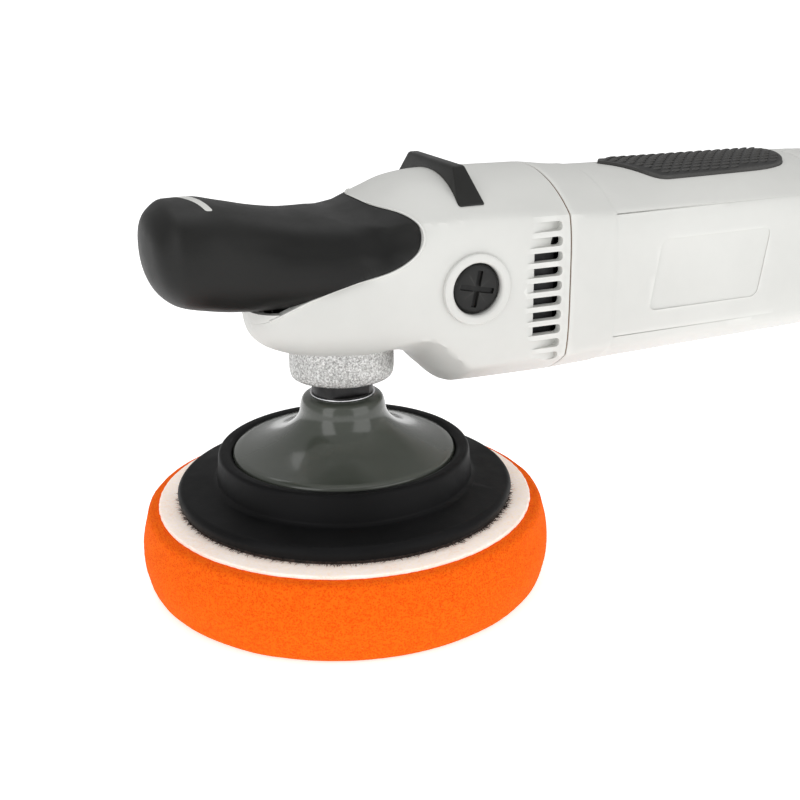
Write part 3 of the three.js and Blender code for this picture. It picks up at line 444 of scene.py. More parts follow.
# ------------------------------------------------------------------ spindle
# The spindle's neck is blackened steel with two wrench flats, just above the hub. A bright steel
# washer lies between them.
spindle_low, spindle_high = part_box("spindle")
neck_radius = spindle_high.x / MM
neck_foot, neck_top = hub_top + 0.1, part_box("spindle_collar")[0].z / MM - 0.5
shaft_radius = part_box("spindle_bearing_inner")[1].x / MM - 2.6
spindle_foot, spindle_tip = spindle_low.z / MM, spindle_high.z / MM
spindle_run = rounded(
    [
        (0, spindle_foot, 0), (7, spindle_foot, 1), (7, neck_foot, 0), (neck_radius, neck_foot, 0.4),
        (neck_radius, neck_top, 0.6), (shaft_radius, neck_top, 0), (shaft_radius, spindle_tip - 11, 0.5),
        (4.9, spindle_tip - 11, 0), (4.9, spindle_tip, 0.8), (0, spindle_tip, 0),
    ]
)
spindle = turned("spindle_shaft", spindle_run, steps=96)


def soften(bm, edges, round_off, segments):
    bmesh.ops.bevel(
        bm, geom=edges, offset=round_off * MM, segments=segments, profile=0.5, affect="EDGES", material=-1
    )


def box_solid(name, low, high, round_off=0.0, segments=3):
    """A box between two corners in millimetres, with its edges rounded off."""
    low, high = Vector(low), Vector(high)
    bm = bmesh.new()
    size = Matrix.Diagonal((*((high - low) * MM), 1))
    bmesh.ops.create_cube(bm, size=1, matrix=Matrix.Translation((low + high) / 2 * MM) @ size)
    if round_off:
        soften(bm, bm.edges[:], round_off, segments)
    return mesh_object(name, bm)


def combine(piece, tool, how="DIFFERENCE", keep=False):
    """Cuts, joins or trims the piece with the tool, in the mesh itself."""
    modifier = piece.modifiers.new("join", "BOOLEAN")
    modifier.operation, modifier.solver, modifier.object = how, "EXACT", tool
    bpy.context.view_layer.update()
    result = bpy.data.meshes.new_from_object(piece.evaluated_get(bpy.context.evaluated_depsgraph_get()))
    piece.modifiers.clear()
    piece.data = result
    if not keep:
        bpy.data.objects.remove(tool)
    return piece


for way in (1, -1):
    near, far = sorted((way * 8.5, way * 20))
    combine(spindle, box_solid("flat_tool", (-20, near, neck_foot + 0.9), (20, far, neck_top - 0.9)))
smooth(spindle, 35)


def metal(name, dark, light, roughness, scale=60, grain=1500, depth=0.05, metallic=1.0):
    made, tree, shader = new_material(name)
    color = ramp(tree, noise_node(tree, scale, 5, 0.6), [(0.35, dark), (0.65, light)])
    tree.links.new(color, shader.inputs["Base Color"])
    shader.inputs["Metallic"].default_value = metallic
    gloss = spread(tree, noise_node(tree, scale * 3, 4), roughness * 0.8, roughness * 1.25)
    tree.links.new(gloss, shader.inputs["Roughness"])
    tree.links.new(bumped(tree, noise_node(tree, grain, 3), depth, 0.0002), shader.inputs["Normal"])
    return made


black_steel = metal(
    "blackened_steel", (0.016, 0.016, 0.017), (0.035, 0.034, 0.033), 0.42, 120, 900, 0.08, 0.7
)
settle(spindle, black_steel, "spindle_group", "steel", "spindle")
bright_steel = metal("bright_steel", (0.52, 0.52, 0.53), (0.68, 0.68, 0.70), 0.24, 200, 1600, 0.03)
washer_foot, washer_top = neck_foot - 0.05, neck_foot + 0.5
washer_run = rounded(
    [
        (7.2, washer_foot, 0), (11.7, washer_foot, 0.2), (11.7, washer_top, 0.2),
        (neck_radius + 0.05, washer_top, 0), (neck_radius + 0.05, neck_foot, 0), (7.2, neck_foot, 0),
        (7.2, washer_foot, 0),
    ]
)
washer = turned("neck_washer", washer_run, steps=96)
smooth(washer, 35)
settle(washer, bright_steel, "spindle_group", "steel")

# ------------------------------------------------------------------ spindle collar
# The collar is cast aluminium, blasted with beads to a sparkling grey, with a rounded lower edge.
# It closes the gear case from below and holds the spindle's main bearing and its seal.
collar_low, collar_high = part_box("spindle_collar")
collar_foot, collar_top = collar_low.z / MM, collar_high.z / MM
collar_radius = 18.7
flange_radius = collar_high.x / MM
step_z = collar_top - 3.4
collar_run = rounded(
    [
        (12, collar_foot, 0), (collar_radius - 0.6, collar_foot, 0.8), (collar_radius, collar_foot + 2.4, 2.4),
        (collar_radius, step_z, 0.4), (flange_radius, step_z, 0.4), (flange_radius, collar_top, 0.4),
        (16.3, collar_top, 0), (16.3, collar_foot + 1.8, 0), (12, collar_foot + 1.8, 0), (12, collar_foot, 0),
    ]
)
collar = turned("blasted_collar", fine(collar_run, 1.0), steps=192)
smooth(collar, 35)
blasted, tree, shader = new_material("blasted_aluminium")
speck = noise_node(tree, 1300, 2, 0.8)
tree.links.new(
    ramp(tree, speck, [(0.36, (0.28, 0.28, 0.27)), (0.5, (0.50, 0.50, 0.49)), (0.64, (0.74, 0.74, 0.73))]),
    shader.inputs["Base Color"],
)
shader.inputs["Metallic"].default_value = 0.8
tree.links.new(spread(tree, noise_node(tree, 700, 3), 0.34, 0.6), shader.inputs["Roughness"])
low = bumped(tree, noise_node(tree, 420, 2), 0.25, 0.0004)
tree.links.new(bumped(tree, speck, 0.7, 0.0004, low), shader.inputs["Normal"])
settle(collar, blasted, "casing", "cast", "spindle_collar")

# ------------------------------------------------------------------ head cover
# The head cover is moulded in satin light-grey nylon. It boxes in the gears, carries the side handle
# sockets and ends in louvred vents just before the seam with the motor housing.
NOSE_ROWS = [
    (4.5, 32.4, 136.6, 85.2, 3.3, 79), (8, 33, 138.2, 85, 3.5, 70), (15, 33.6, 141.4, 84.2, 3.6, 60),
    (22, 34, 144.2, 81.7, 3.8, 52),
]
HEAD_ROWS = [
    (-34.4, 0.05, 107.55, 107.45, 2.2, 400), (-34, 6, 118, 97, 2.2, 400), (-32, 12, 119, 92.4, 2.3, 300),
    (-28, 17, 120, 89.4, 2.5, 200), (-20, 22.3, 122, 87, 2.8, 150), (-11, 26.3, 125, 86, 3, 120),
    (-4, 28.8, 131, 85.6, 3.2, 110), *NOSE_ROWS, (30, 34.3, 145.3, 74.2, 4, 50),
    (36, 34.6, 145.5, 69.5, 4, 50), (72, 35.5, 144.8, 68.7, 4, 50),
]
HOOD_ROWS = [
    (-67.55, 0.05, 126.8, 126.7, 2.1, 400), (-67.4, 3, 130, 123.5, 2.1, 400),
    (-66.2, 12, 135.6, 117, 2.2, 400), (-63.4, 17.5, 139.4, 111.5, 2.3, 400),
    (-58, 21.5, 142, 107.5, 2.4, 300), (-50, 23, 142, 105.5, 2.4, 300),
    (-40, 23.5, 140, 104, 2.4, 300), (-28, 25, 137.3, 103.5, 2.4, 200), (-16, 28, 135.6, 104, 2.5, 150),
    (-4, 31, 135.2, 104, 2.7, 100), *NOSE_ROWS,
]


def profile(rows, pointed=False):
    """A function giving half width, top, bottom, squareness and crown radius at any x."""
    start = rows[0][0]

    def warp(x):
        return sqrt(max(0, x - start)) if pointed else x

    places = [warp(row[0]) for row in rows]
    columns = []
    for column in list(zip(*rows))[1:]:
        rates = [(b - a) / (v - u) for a, b, u, v in zip(column, column[1:], places, places[1:])]
        inner = [0 if a * b <= 0 else 2 * a * b / (a + b) for a, b in zip(rates, rates[1:])]
        columns.append((column, [rates[0], *inner, rates[-1]]))

    def at(x):
        u = min(max(warp(x), places[0]), places[-1])
        i = min(max(k for k, place in enumerate(places) if place <= u), len(places) - 2)
        gap = places[i + 1] - places[i]
        t = (u - places[i]) / gap
        a, b, c, d = 2 * t**3 - 3 * t**2 + 1, t**3 - 2 * t**2 + t, 3 * t**2 - 2 * t**3, t**3 - t**2
        return [
            a * value[i] + b * gap * slope[i] + c * value[i + 1] + d * gap * slope[i + 1]
            for value, slope in columns
        ]

    return at


def rise_at(values, y):
    """Height of the casing's skin above its middle, at y across."""
    half, top, bottom, square, crown = values
    tall = (top - bottom) / 2
    share = min(1, abs(y) / half)
    return min(tall * (1 - share**square) ** (1 / square), tall - (crown - sqrt(crown**2 - y * y)))


def section(values, count, inset=0):
    """Evenly spaced points round the casing's section, from the middle of the +Y side."""
    half, top, bottom, square, crown = values
    values = (max(0.04, half - inset), top - inset, bottom + inset, square, crown)
    if values[1] <= values[2]:
        values = (values[0], (top + bottom) / 2 + 0.04, (top + bottom) / 2 - 0.04, square, crown)
    mid = (values[1] + values[2]) / 2
    dense = []
    for k in range(361):
        angle = 2 * pi * k / 360
        y = values[0] * abs(cos(angle)) ** (2 / square) * (1 if cos(angle) > 0 else -1)
        dense.append(Vector((y, mid + rise_at(values, y) * (1 if sin(angle) >= 0 else -1))))
    reach = [0.0]
    for a, b in zip(dense, dense[1:]):
        reach.append(reach[-1] + (b - a).length)
    points, k = [], 0
    for i in range(count):
        want = reach[-1] * i / count
        while reach[k + 1] < want:
            k += 1
        span = reach[k + 1] - reach[k]
        points.append(dense[k].lerp(dense[k + 1], (want - reach[k]) / span if span else 0))
    return points


def loft(name, at, places, count=112, carve=None):
    """A closed casing skinned over its sections. Places are (x, inset) pairs, in millimetres."""
    bm = bmesh.new()
    bmesh.ops.create_grid(bm, x_segments=count, y_segments=len(places) - 1, size=0.5)
    rings = [section(at(x), count, inset) for x, inset in places]
    for vert in bm.verts:
        i = round((vert.co.x + 0.5) * count) % count
        j = round((vert.co.y + 0.5) * (len(places) - 1))
        spot = Vector((places[j][0], *rings[j][i]))
        vert.co = (carve(spot) if carve else spot) * MM
    bmesh.ops.remove_doubles(bm, verts=bm.verts, dist=1e-7)
    bmesh.ops.holes_fill(bm, edges=[edge for edge in bm.edges if edge.is_boundary], sides=0)
    bmesh.ops.recalc_face_normals(bm, faces=bm.faces)
    return mesh_object(name, bm)


def along(start, end, gap, inset=0):
    parts = max(1, round((end - start) / gap))
    return [(start + (end - start) * k / parts, inset) for k in range(parts + 1)]


def pointed(start, end, parts, inset=0):
    """Places that crowd together towards a rounded nose."""
    return [(start + (end - start) * (k / parts) ** 2, inset) for k in range(parts + 1)]


def lip(x, way, wide=0.6):
    """Three places that round off a casing's end at x; way is 1 where the casing lies behind it."""
    turns = [(x, wide), (x + way * wide * 0.3, wide * 0.3), (x + way * wide, 0)]
    return turns if way > 0 else turns[::-1]


def prism(name, outline, low, high, axis="Y", soft=0.0, segments=3):
    """An outline pushed through from low to high: (x, z) along Y, (x, y) along Z, (y, z) along X."""
    place = {
        "Y": lambda a, b: (a, low, b), "Z": lambda a, b: (a, b, low), "X": lambda a, b: (low, a, b),
    }[axis]
    way = {"Y": (0, high - low, 0), "Z": (0, 0, high - low), "X": (high - low, 0, 0)}[axis]
    bm = bmesh.new()
    verts = [bm.verts.new(Vector(place(*point)) * MM) for point in outline]
    bmesh.ops.contextual_create(bm, geom=verts)
    pushed = bmesh.ops.extrude_face_region(bm, geom=bm.faces[:], use_keep_orig=True)
    moved = [item for item in pushed["geom"] if isinstance(item, bmesh.types.BMVert)]
    bmesh.ops.translate(bm, verts=moved, vec=Vector(way) * MM)
    bmesh.ops.recalc_face_normals(bm, faces=bm.faces)
    if soft:
        soften(bm, bm.edges[:], soft, segments)
    return mesh_object(name, bm)


def boxes(name, spans):
    """Several separate boxes in one mesh; each span is its low and high corner."""
    bm = bmesh.new()
    for low, high in spans:
        low, high = Vector(low), Vector(high)
        size = Matrix.Diagonal((*((high - low) * MM), 1))
        bmesh.ops.create_cube(bm, size=1, matrix=Matrix.Translation((low + high) / 2 * MM) @ size)
    return mesh_object(name, bm)


def closed(corners, steps=6):
    """A closed outline with every (a, b, radius) corner rounded."""
    run = []
    count = len(corners)
    for i, (a, b, radius) in enumerate(corners):
        here = Vector((a, b))
        if not radius:
            run.append(here)
            continue
        before = Vector(corners[i - 1][:2]) - here
        after = Vector(corners[(i + 1) % count][:2]) - here
        start = here + before.normalized() * min(radius, before.length * 0.49)
        end = here + after.normalized() * min(radius, after.length * 0.49)
        for k in range(steps + 1):
            t = k / steps
            run.append(start * (1 - t) ** 2 + here * 2 * t * (1 - t) + end * t * t)
    return run


def shifted(outline, distance):
    """A closed outline moved outwards by a distance."""
    area = sum(a.x * b.y - b.x * a.y for a, b in zip(outline, outline[1:] + outline[:1]))
    out = []
    for i, here in enumerate(outline):
        way = outline[(i + 1) % len(outline)] - outline[i - 1]
        normal = Vector((way.y, -way.x)).normalized() * (1 if area > 0 else -1)
        out.append(here + normal * distance)
    return out


def rod(name, radius, low, high, axis, centre, steps=32):
    return turned(name, [(0, low), (radius, low), (radius, high), (0, high)], axis, centre, steps)


head_at = profile(HEAD_ROWS, pointed=True)
hood_at = profile(HOOD_ROWS, pointed=True)
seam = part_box("head_cover")[1].x / MM
plug_x, plug_z = 36.3, 110
boss_radius, boss_face = 12.25, 36
zone = closed(
    [
        (-80, 165, 0), (4.9, 165, 0), (5.0, 137.2, 3), (14.8, 135.6, 4), (18.2, 130.6, 6), (16.4, 124.2, 6),
        (7.5, 118.6, 8), (-6, 115.4, 8), (-24, 107.0, 8), (-37.5, 96.5, 0), (-80, 96.5, 0),
    ],
    steps=8,
)
head_places = pointed(-34.4, -8, 22) + along(-7, 30, 1.1) + along(31.2, 69.6, 1.6) + lip(seam, -1)
cover = loft("grey_head_cover", head_at, head_places, 128)
head_form = loft("head_form", head_at, pointed(-34.4, 4, 20, -0.15) + along(5, 60, 1.5, -0.15), 128)
combine(cover, prism("zone_tool", shifted(zone, 0.15), -60, 60))
core = loft("core_form", hood_at, [(x + 2.6, 2.5) for x, _ in pointed(-67.4, 18, 26)], 64)
combine(core, loft("core_inside", hood_at, [(x + 5.4, 5.1) for x, _ in pointed(-67.4, 14, 20)], 48))
combine(core, prism("core_zone", shifted(zone, 3), -60, 60), "INTERSECT")
inside = loft("cover_inside", head_at, [(x + 3.4, 3.05) for x, _ in pointed(-33.9, 72.3, 33)], 72)
combine(cover, inside, keep=True)
combine(core, inside)
ring = rounded(
    [
        (0, 0, 0), (boss_radius - 0.1, 0, 0), (boss_radius, 4.9, 0), (boss_radius - 0.1, 6, 1.3),
        (9.6, 6, 0.7), (8.95, 5.2, 0.4), (8.95, 4, 0), (0, 4, 0),
    ]
)
for way in (1, -1):
    run = [(r, way * (boss_face - 6 + h)) for r, h in ring]
    combine(cover, turned("boss_tool", run, "Y", (plug_x, 0, plug_z), 96), "UNION")
combine(cover, rod("plug_hole", 8.95, -50, 50, "Y", (plug_x, 0, plug_z), 96))
case_room = [
    (0, 60), (collar_radius + 0.4, 60), (collar_radius + 0.4, collar_top - 4),
    (flange_radius + 0.6, collar_top - 4), (flange_radius + 0.6, collar_top), (25.5, collar_top + 3),
    (25.5, 119), (20, 131.2), (0, 131.2),
]
room = turned("case_room", case_room, "Z", (0, 0, 0), 93)
combine(cover, room, keep=True)
combine(core, room)


VENT_TOP, VENT_PITCH, VENT_HALF = 128.5, 5.15, 1.65


def slots(name, rows, ramp_plan):
    """Louvre cutters: round-ended slots, as deep as the ramp drawn in plan lets them be."""
    bm = bmesh.new()
    for row in rows:
        z = VENT_TOP - VENT_PITCH * row
        low, high = z - VENT_HALF, z + VENT_HALF
        outline = closed([(54.4, low, 1.4), (68.6, low, 1.6), (68.6, high, 1.6), (54.4, high, 1.4)], 5)
        verts = [bm.verts.new((x * MM, -0.05, h * MM)) for x, h in outline]
        bmesh.ops.contextual_create(bm, geom=verts)
    pushed = bmesh.ops.extrude_face_region(bm, geom=bm.faces[:], use_keep_orig=True)
    moved = [item for item in pushed["geom"] if isinstance(item, bmesh.types.BMVert)]
    bmesh.ops.translate(bm, verts=moved, vec=(0, 0.1, 0))
    bmesh.ops.recalc_face_normals(bm, faces=bm.faces)
    cutter = mesh_object(name, bm)
    sides = prism("ramp_tool", ramp_plan, 75, 145, "Z")
    combine(sides, prism("ramp_twin", [(x, -y) for x, y in ramp_plan], 75, 145, "Z"), "UNION")
    return combine(cutter, sides, "INTERSECT")


blind_ramp = [(54, 35.4), (67, 31.6), (70, 31.9), (70, 40), (54, 40)]
open_ramp = [(54, 35.4), (58.2, 34.1), (58.3, 26), (70, 26), (70, 40), (54, 40)]
combine(cover, slots("blind_slots", (0, 1, 8, 9), blind_ramp))
combine(cover, slots("open_slots", range(2, 8), open_ramp))
smooth(cover, 28)
shell_grey = moulded(
    "grey_shell", (0.60, 0.602, 0.578), (0.66, 0.662, 0.636), 0.42, 14, 2600, 0.10, 0.05, 0.4
)
settle(cover, shell_grey, "casing", "casing", "head_cover")
smooth(core, 28)
settle(core, shell_grey, "casing", "casing", "head_cover")


def side_of(at, x, z, inset=0):
    """How far out the casing's skin is at a height z on its side."""
    half, top, bottom, square, crown = at(x)
    values = (half - inset, top - inset, bottom + inset, square, crown)
    up = abs(z - (top + bottom) / 2)
    low, high = 0.0, values[0]
    for _ in range(30):
        mid = (low + high) / 2
        if rise_at(values, mid) > up:
            low = mid
        else:
            high = mid
    return low


def sweep(name, path, radius, sides=10, closed_path=False):
    """A round bead that follows a path of points in millimetres."""
    bm = bmesh.new()
    rings = []
    for i, here in enumerate(path):
        way = (path[min(i + 1, len(path) - 1)] - path[max(i - 1, 0)]).normalized()
        out = way.cross(Vector((0, 0, 1)))
        out = out.normalized() if out.length > 0.05 else Vector((0, 1, 0))
        lift = way.cross(out)
        made = bmesh.ops.create_circle(bm, segments=sides, radius=1)["verts"]
        for vert in made:
            vert.co = (here + (out * vert.co.x + lift * vert.co.y) * radius) * MM
        rings.append(list({edge for vert in made for edge in vert.link_edges}))
    for a, b in zip(rings, rings[1:]):
        bmesh.ops.bridge_loops(bm, edges=a + b)
    bmesh.ops.holes_fill(bm, edges=[edge for edge in bm.edges if edge.is_boundary], sides=0)
    bmesh.ops.recalc_face_normals(bm, faces=bm.faces)
    return mesh_object(name, bm)


rim_line = [point for point in fine(shifted(zone, 0.42), 1.5) if point.x > -60 and point.y < 150]
for way in (1, -1):
    path = []
    for x, z in rim_line:
        half, top, bottom, square, crown = head_at(x)
        if not bottom + 2 < z < top - 0.35 or x < -31:
            continue
        out = side_of(head_at, x, z)
        if x < 4.5 and out < side_of(hood_at, x, max(z, hood_at(x)[2] + 0.3)) - 1.2 and z < 112:
            continue
        path.append(Vector((x, way * (out + 0.02), z)))
    bead = sweep("edge_bead", path, 0.42)
    smooth(bead, 60)
    settle(bead, shell_grey, "casing", "casing")

# ------------------------------------------------------------------ palm hood
# The palm rest is a thick soft-touch rubber moulding over the nose of the head. Its top is a saddle
# for the hand, and a shallow thumb channel runs along each side and dies out before the nose.
GROOVE = ((-46, 132.0), (-30, 129.2), (-14, 127.6), (2, 127.6), (14, 129.0))


def thumb_channel(spot):
    """Sinks the skin of the hood along its thumb channel."""
    height = GROOVE[-1][1]
    for (a, low), (b, high) in zip(GROOVE, GROOVE[1:]):
        if spot.x < b:
            height = low + (high - low) * max(0, min(1, (spot.x - a) / (b - a)))
            break
    fade = max(0, min(1, (spot.x + 50) / 26))
    fade = fade * fade * (3 - 2 * fade)
    near = 2.718 ** (-(((spot.z - height) / (3.6 if spot.z < height else 5.2)) ** 2))
    depth = 1.5 * fade * near
    inward = depth * (1 if spot.y > 0 else -1) * min(1, abs(spot.y) / 8)
    return Vector((spot.x, spot.y - inward, spot.z - depth * 0.3))


hood = loft("soft_hood", hood_at, pointed(-67.55, -40, 26) + along(-39, 19.5, 1.2), 144, thumb_channel)
combine(hood, prism("hood_zone", shifted(zone, -0.15), -60, 60), "INTERSECT")
combine(hood, loft("hood_inside", hood_at, [(x + 2.3, 2.2) for x, _ in pointed(-67.4, 20, 26)], 64))
smooth(hood, 35)
soft_touch = moulded(
    "soft_touch_rubber", (0.006, 0.0061, 0.0058), (0.011, 0.0111, 0.0104), 0.5, 22, 3200, 0.10, 0.9, 0.24
)
settle(hood, soft_touch, "casing", "soft_touch", "palm_hood")

# ------------------------------------------------------------------ hood painted highlight
# A light-grey wedge set flush into the top of the palm rest is a painted highlight: it stands in for the soft
# bright band of light that runs down from the top of the nose.
# Painted highlight: a thin skin over the hood, cut to the wedge and given the light shell grey.
highlight_band = loft("painted_highlight_inlay", hood_at, along(-60, -40, 1, -0.04), 144)
combine(highlight_band, loft("painted_highlight_inside", hood_at, along(-62, -38, 2, 0.7), 64))
wedge = closed([(-55, 9.5, 0.8), (-51.2, 10, 0.8), (-46.2, -12.5, 1.0), (-48.6, -13, 1.0)])
combine(highlight_band, prism("wedge_tool", wedge, 130, 160, "Z"), "INTERSECT")
smooth(highlight_band, 35)
settle(highlight_band, shell_grey, "casing", "casing")

# ------------------------------------------------------------------ rest bumper
# A hard rubber saddle bridges the top of the head, so the tool can be laid down on its back without
# scratching its casing. It is glued into the cover and has a flat ridge with softened edges.
FOOT_X, FOOT_Y, FOOT_Z = (32.4, 42.4), 28.8, 136.7
RIDGE_X, RIDGE_Y, RIDGE_Z = (34.8, 39.1), 19, 148.9
bm = bmesh.new()
bmesh.ops.create_cube(bm, size=2)
for vert in bm.verts:
    reach, across, height = (RIDGE_X, RIDGE_Y, RIDGE_Z) if vert.co.z > 0 else (FOOT_X, FOOT_Y, FOOT_Z)
    x, y = reach[vert.co.x > 0], across if vert.co.y > 0 else -across
    vert.co = Vector((x, y, height)) * MM
soften(bm, bm.edges[:], 0.9, 4)
bumper = mesh_object("rest_saddle", bm)
combine(bumper, head_form, keep=True)
smooth(bumper, 30)
black_nylon = moulded(
    "black_nylon", (0.007, 0.0071, 0.0068), (0.012, 0.012, 0.0113), 0.42, 30, 2200, 0.12, 1.0, 0.24
)
settle(bumper, black_nylon, "casing", "black_plastic", "rest_bumper")

# ------------------------------------------------------------------ side handle plugs
# Black nylon plugs close the two threaded sockets of the side handle. Each has a turned-down edge
# and a deep cross for a coin or a wide screwdriver.
def cross(piece, half_size, place, arms, round_off=0.0, segments=3):
    """Sinks two crossed grooves into a face, at these angles."""
    corner = Vector(half_size)
    for arm in arms:
        tool = box_solid("cross_tool", -corner, corner, round_off, segments)
        tool.data.transform(Matrix.Translation(Vector(place) * MM) @ Matrix.Rotation(radians(arm), 4, "Y"))
        combine(piece, tool)


for way, node in ((-1, "handle_plug_left"), (1, "handle_plug_right")):
    face, seat = boss_face - 1, 29.3
    run = rounded(
        [
            (0, seat - 9, 0), (7, seat - 9, 0.6), (7, seat, 0), (8.7, seat, 0.2),
            (8.75, face - 1.1, 1.0), (7.4, face - 0.25, 1.2), (0, face, 0),
        ],
        5,
    )
    plug = turned("coin_plug", [(r, way * h) for r, h in run], "Y", (plug_x, 0, plug_z), 96)
    cross(plug, (6.35, 1.6, 1.0), (plug_x, way * face, plug_z), (12, 102), 0.35, 2)
    smooth(plug, 32)
    settle(plug, black_nylon, "casing", "black_plastic", node)

# ------------------------------------------------------------------ motor housing
# The motor housing is one grey nylon barrel of the same satin finish. Each side has two fine mould
# lines and a shallow panel for the rating plate; the rear bearing wall is inside.
MOTOR_ROWS = [(72, 35.5, 144.8, 68.7, 4, 50), (90, 35.2, 142.8, 69.2, 4, 50), (188, 34.5, 141.4, 71, 4, 50)]
motor_at = profile(MOTOR_ROWS)
front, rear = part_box("motor_housing")[0].x / MM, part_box("motor_housing")[1].x / MM
barrel_places = lip(front, 1) + along(74.5, 89, 1.8) + [(89.8, 0), (90.2, 0.08), (90.8, 0.26), (91.4, 0.34)]
barrel_places += along(93, rear - 1.4, 2.4, 0.34) + [(rear - 0.6, 0.36), (rear - 0.2, 0.5), (rear, 0.8)]
barrel = loft("motor_barrel", motor_at, barrel_places, 128)
combine(barrel, loft("barrel_inside", motor_at, along(60, 200, 6, 3), 64))
panel = closed([(109.6, 119.7, 3.4), (157.6, 119.7, 3.4), (153.4, 94, 3.4), (105.4, 94, 3.4)])
for low, high in ((-40, -34.02), (34.02, 40)):
    combine(barrel, prism("panel_tool", panel, low, high))
lines = []
for z in (86, 130):
    for way in (1, -1):
        y = sorted((way * (side_of(motor_at, 140, z, 0.34) - 0.16), way * 40))
        lines.append(((91.2, y[0], z - 0.22), (rear + 1, y[1], z + 0.22)))
combine(barrel, boxes("line_tool", lines))
bearing_wall = 188 - 19.5 + 6.4
wall_form = loft("wall_form", motor_at, along(bearing_wall, bearing_wall + 3, 3, 1), 64)
axis_z = 108
wall_back = bearing_wall + 3
combine(wall_form, rod("bearing_seat", 13, bearing_wall - 6.9, wall_back, "X", (0, 0, axis_z), 64), "UNION")
bore = [
    (0, bearing_wall - 8), (9.65, bearing_wall - 8), (9.65, bearing_wall), (5, bearing_wall),
    (5, wall_back + 2), (0, wall_back + 2),
]
combine(wall_form, turned("bearing_bore", bore, "X", (0, 0, axis_z), 64))
for k in range(4):
    tool = box_solid("window_tool", (bearing_wall - 10, -9, 17), (bearing_wall + 10, 9, 26))
    turn = Matrix.Rotation(radians(45 + 90 * k), 4, "X")
    tool.data.transform(Matrix.Translation((0, 0, axis_z * MM)) @ turn)
    combine(wall_form, tool)
combine(barrel, wall_form, "UNION")
grip_corners = [
    (103, 0, 1.0), (117, -19.5, 5), (168, -18, 9), (178.5, -14.5, 12), (181.6, 0, 10),
    (178.5, 14.5, 12), (168, 18, 9), (117, 19.5, 5),
]
grip_plan = closed(grip_corners, 8)
pocket = prism("grip_pocket", shifted(grip_plan, 0.3), 118, 170, "Z")
combine(pocket, loft("pocket_floor", motor_at, along(80, 200, 3, 1.5), 112))
combine(barrel, pocket)
smooth(barrel, 28)
settle(barrel, shell_grey, "casing", "casing", "motor_housing")
gasket = loft("seam_gasket", motor_at, [(seam - 0.2, 0.45), (front + 0.2, 0.45)], 128)
combine(gasket, loft("gasket_inside", motor_at, [(seam - 2, 2.2), (front + 2, 2.2)], 128))
gasket_card = moulded("brown_gasket", (0.10, 0.055, 0.03), (0.16, 0.09, 0.05), 0.8, 60, 1800, 0.2, 0, 0.2)
settle(gasket, gasket_card, "casing", "rubber")

# ------------------------------------------------------------------ top grip
# A black rubber inlay is pressed into the top of the motor housing. Rows of small raised scales,
# staggered like roof tiles, stop the hand from sliding.
grip = loft("grip_inlay", motor_at, along(95, 186, 2, -0.8), 128)
combine(grip, loft("grip_inside", motor_at, along(90, 190, 3, 1.2), 112))
combine(grip, prism("grip_edge", grip_plan, 118, 170, "Z"), "INTERSECT")
smooth(grip, 40)
grip_rubber = moulded(
    "black_grip_rubber", (0.012, 0.0118, 0.0115), (0.024, 0.0235, 0.0225), 0.5, 30, 1500, 0.2, 1.4
)
settle(grip, grip_rubber, "casing", "rubber", "top_grip")


def skin_z(at, x, y, inset=0):
    half, top, bottom, square, crown = at(x)
    values = (half - inset, top - inset, bottom + inset, square, crown)
    return (top + bottom) / 2 + rise_at(values, y)


def within(x, y, outline):
    inside = False
    for a, b in zip(outline, outline[1:] + outline[:1]):
        if (a.y > y) != (b.y > y) and x < a.x + (b.x - a.x) * (y - a.y) / (b.y - a.y):
            inside = not inside
    return inside


scale_plan = shifted(grip_plan, -1.9)
bm = bmesh.new()
for row in range(-8, 9):
    for column in range(20):
        x, y = 102 + 4.4 * column + (2.2 if row % 2 else 0), 2.35 * row
        if not within(x, y, scale_plan):
            continue
        z = skin_z(motor_at, x, y, -0.8)
        lean = atan2(skin_z(motor_at, x, y + 0.5, -0.8) - skin_z(motor_at, x, y - 0.5, -0.8), 1)
        turn = Matrix.Rotation(lean, 4, "X") @ Matrix.Rotation(radians(-7), 4, "Y")
        stretch = Matrix.Diagonal((1.9, 0.72, 0.42, 1))
        place = Matrix.Translation(Vector((x, y, z + 0.05)) * MM) @ turn @ stretch
        bmesh.ops.create_uvsphere(bm, u_segments=8, v_segments=6, radius=MM, matrix=place)
scales = mesh_object("grip_scales", bm)
smooth(scales, 60)
settle(scales, grip_rubber, "casing", "rubber")

# ------------------------------------------------------------------ handle shells
# The rear handle is two grey nylon half shells, split down the middle and held by three screws from
# the right. Cooling air comes in through the slots on its shoulders, just behind the seam.
HANDLE_ROWS = [
    (188, 34.5, 141.4, 71, 4, 50), (204, 33.4, 140.6, 73.5, 3.8, 50), (222, 28, 137.5, 80.5, 3, 60),
    (240, 21.5, 131.5, 86, 2.5, 80), (264, 19.4, 127.5, 86, 2.4, 90), (300, 18.8, 125.5, 84, 2.4, 90),
    (336, 19.4, 124.5, 83, 2.4, 90), (364, 20.6, 124, 81.5, 2.5, 90), (376, 19, 122, 84, 2.5, 90),
    (380, 15.5, 118.5, 88, 2.5, 90),
]
HANDLE_SCREWS = ((205, 86), (228, 93), (358, 96))
handle_at = profile(HANDLE_ROWS)
seam_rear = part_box("handle_shell_left")[0].x / MM
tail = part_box("handle_shell_left")[1].x / MM
handle_places = [(seam_rear, 0.8), (seam_rear + 0.2, 0.5), (seam_rear + 0.7, 0.3)]
handle_places += along(190.5, 377.5, 2.2) + [(379, 0), (379.7, 0.5), (tail, 1.5)]
shell = loft("handle_form", handle_at, handle_places, 112)
combine(shell, loft("handle_inside", handle_at, along(180, 377, 4, 3), 64))
for x, z in HANDLE_SCREWS:
    post = rod("screw_post", 4.8, -24, 24, "Y", (x, 0, z))
    combine(post, loft("post_trim", handle_at, along(x - 10, x + 10, 2, 0.5), 64), "INTERSECT")
    combine(shell, post, "UNION")
spans = [((244, -8, 60), (314, 8, 92)), ((218.5, -3.1, 117), (245.5, 3.1, 150))]
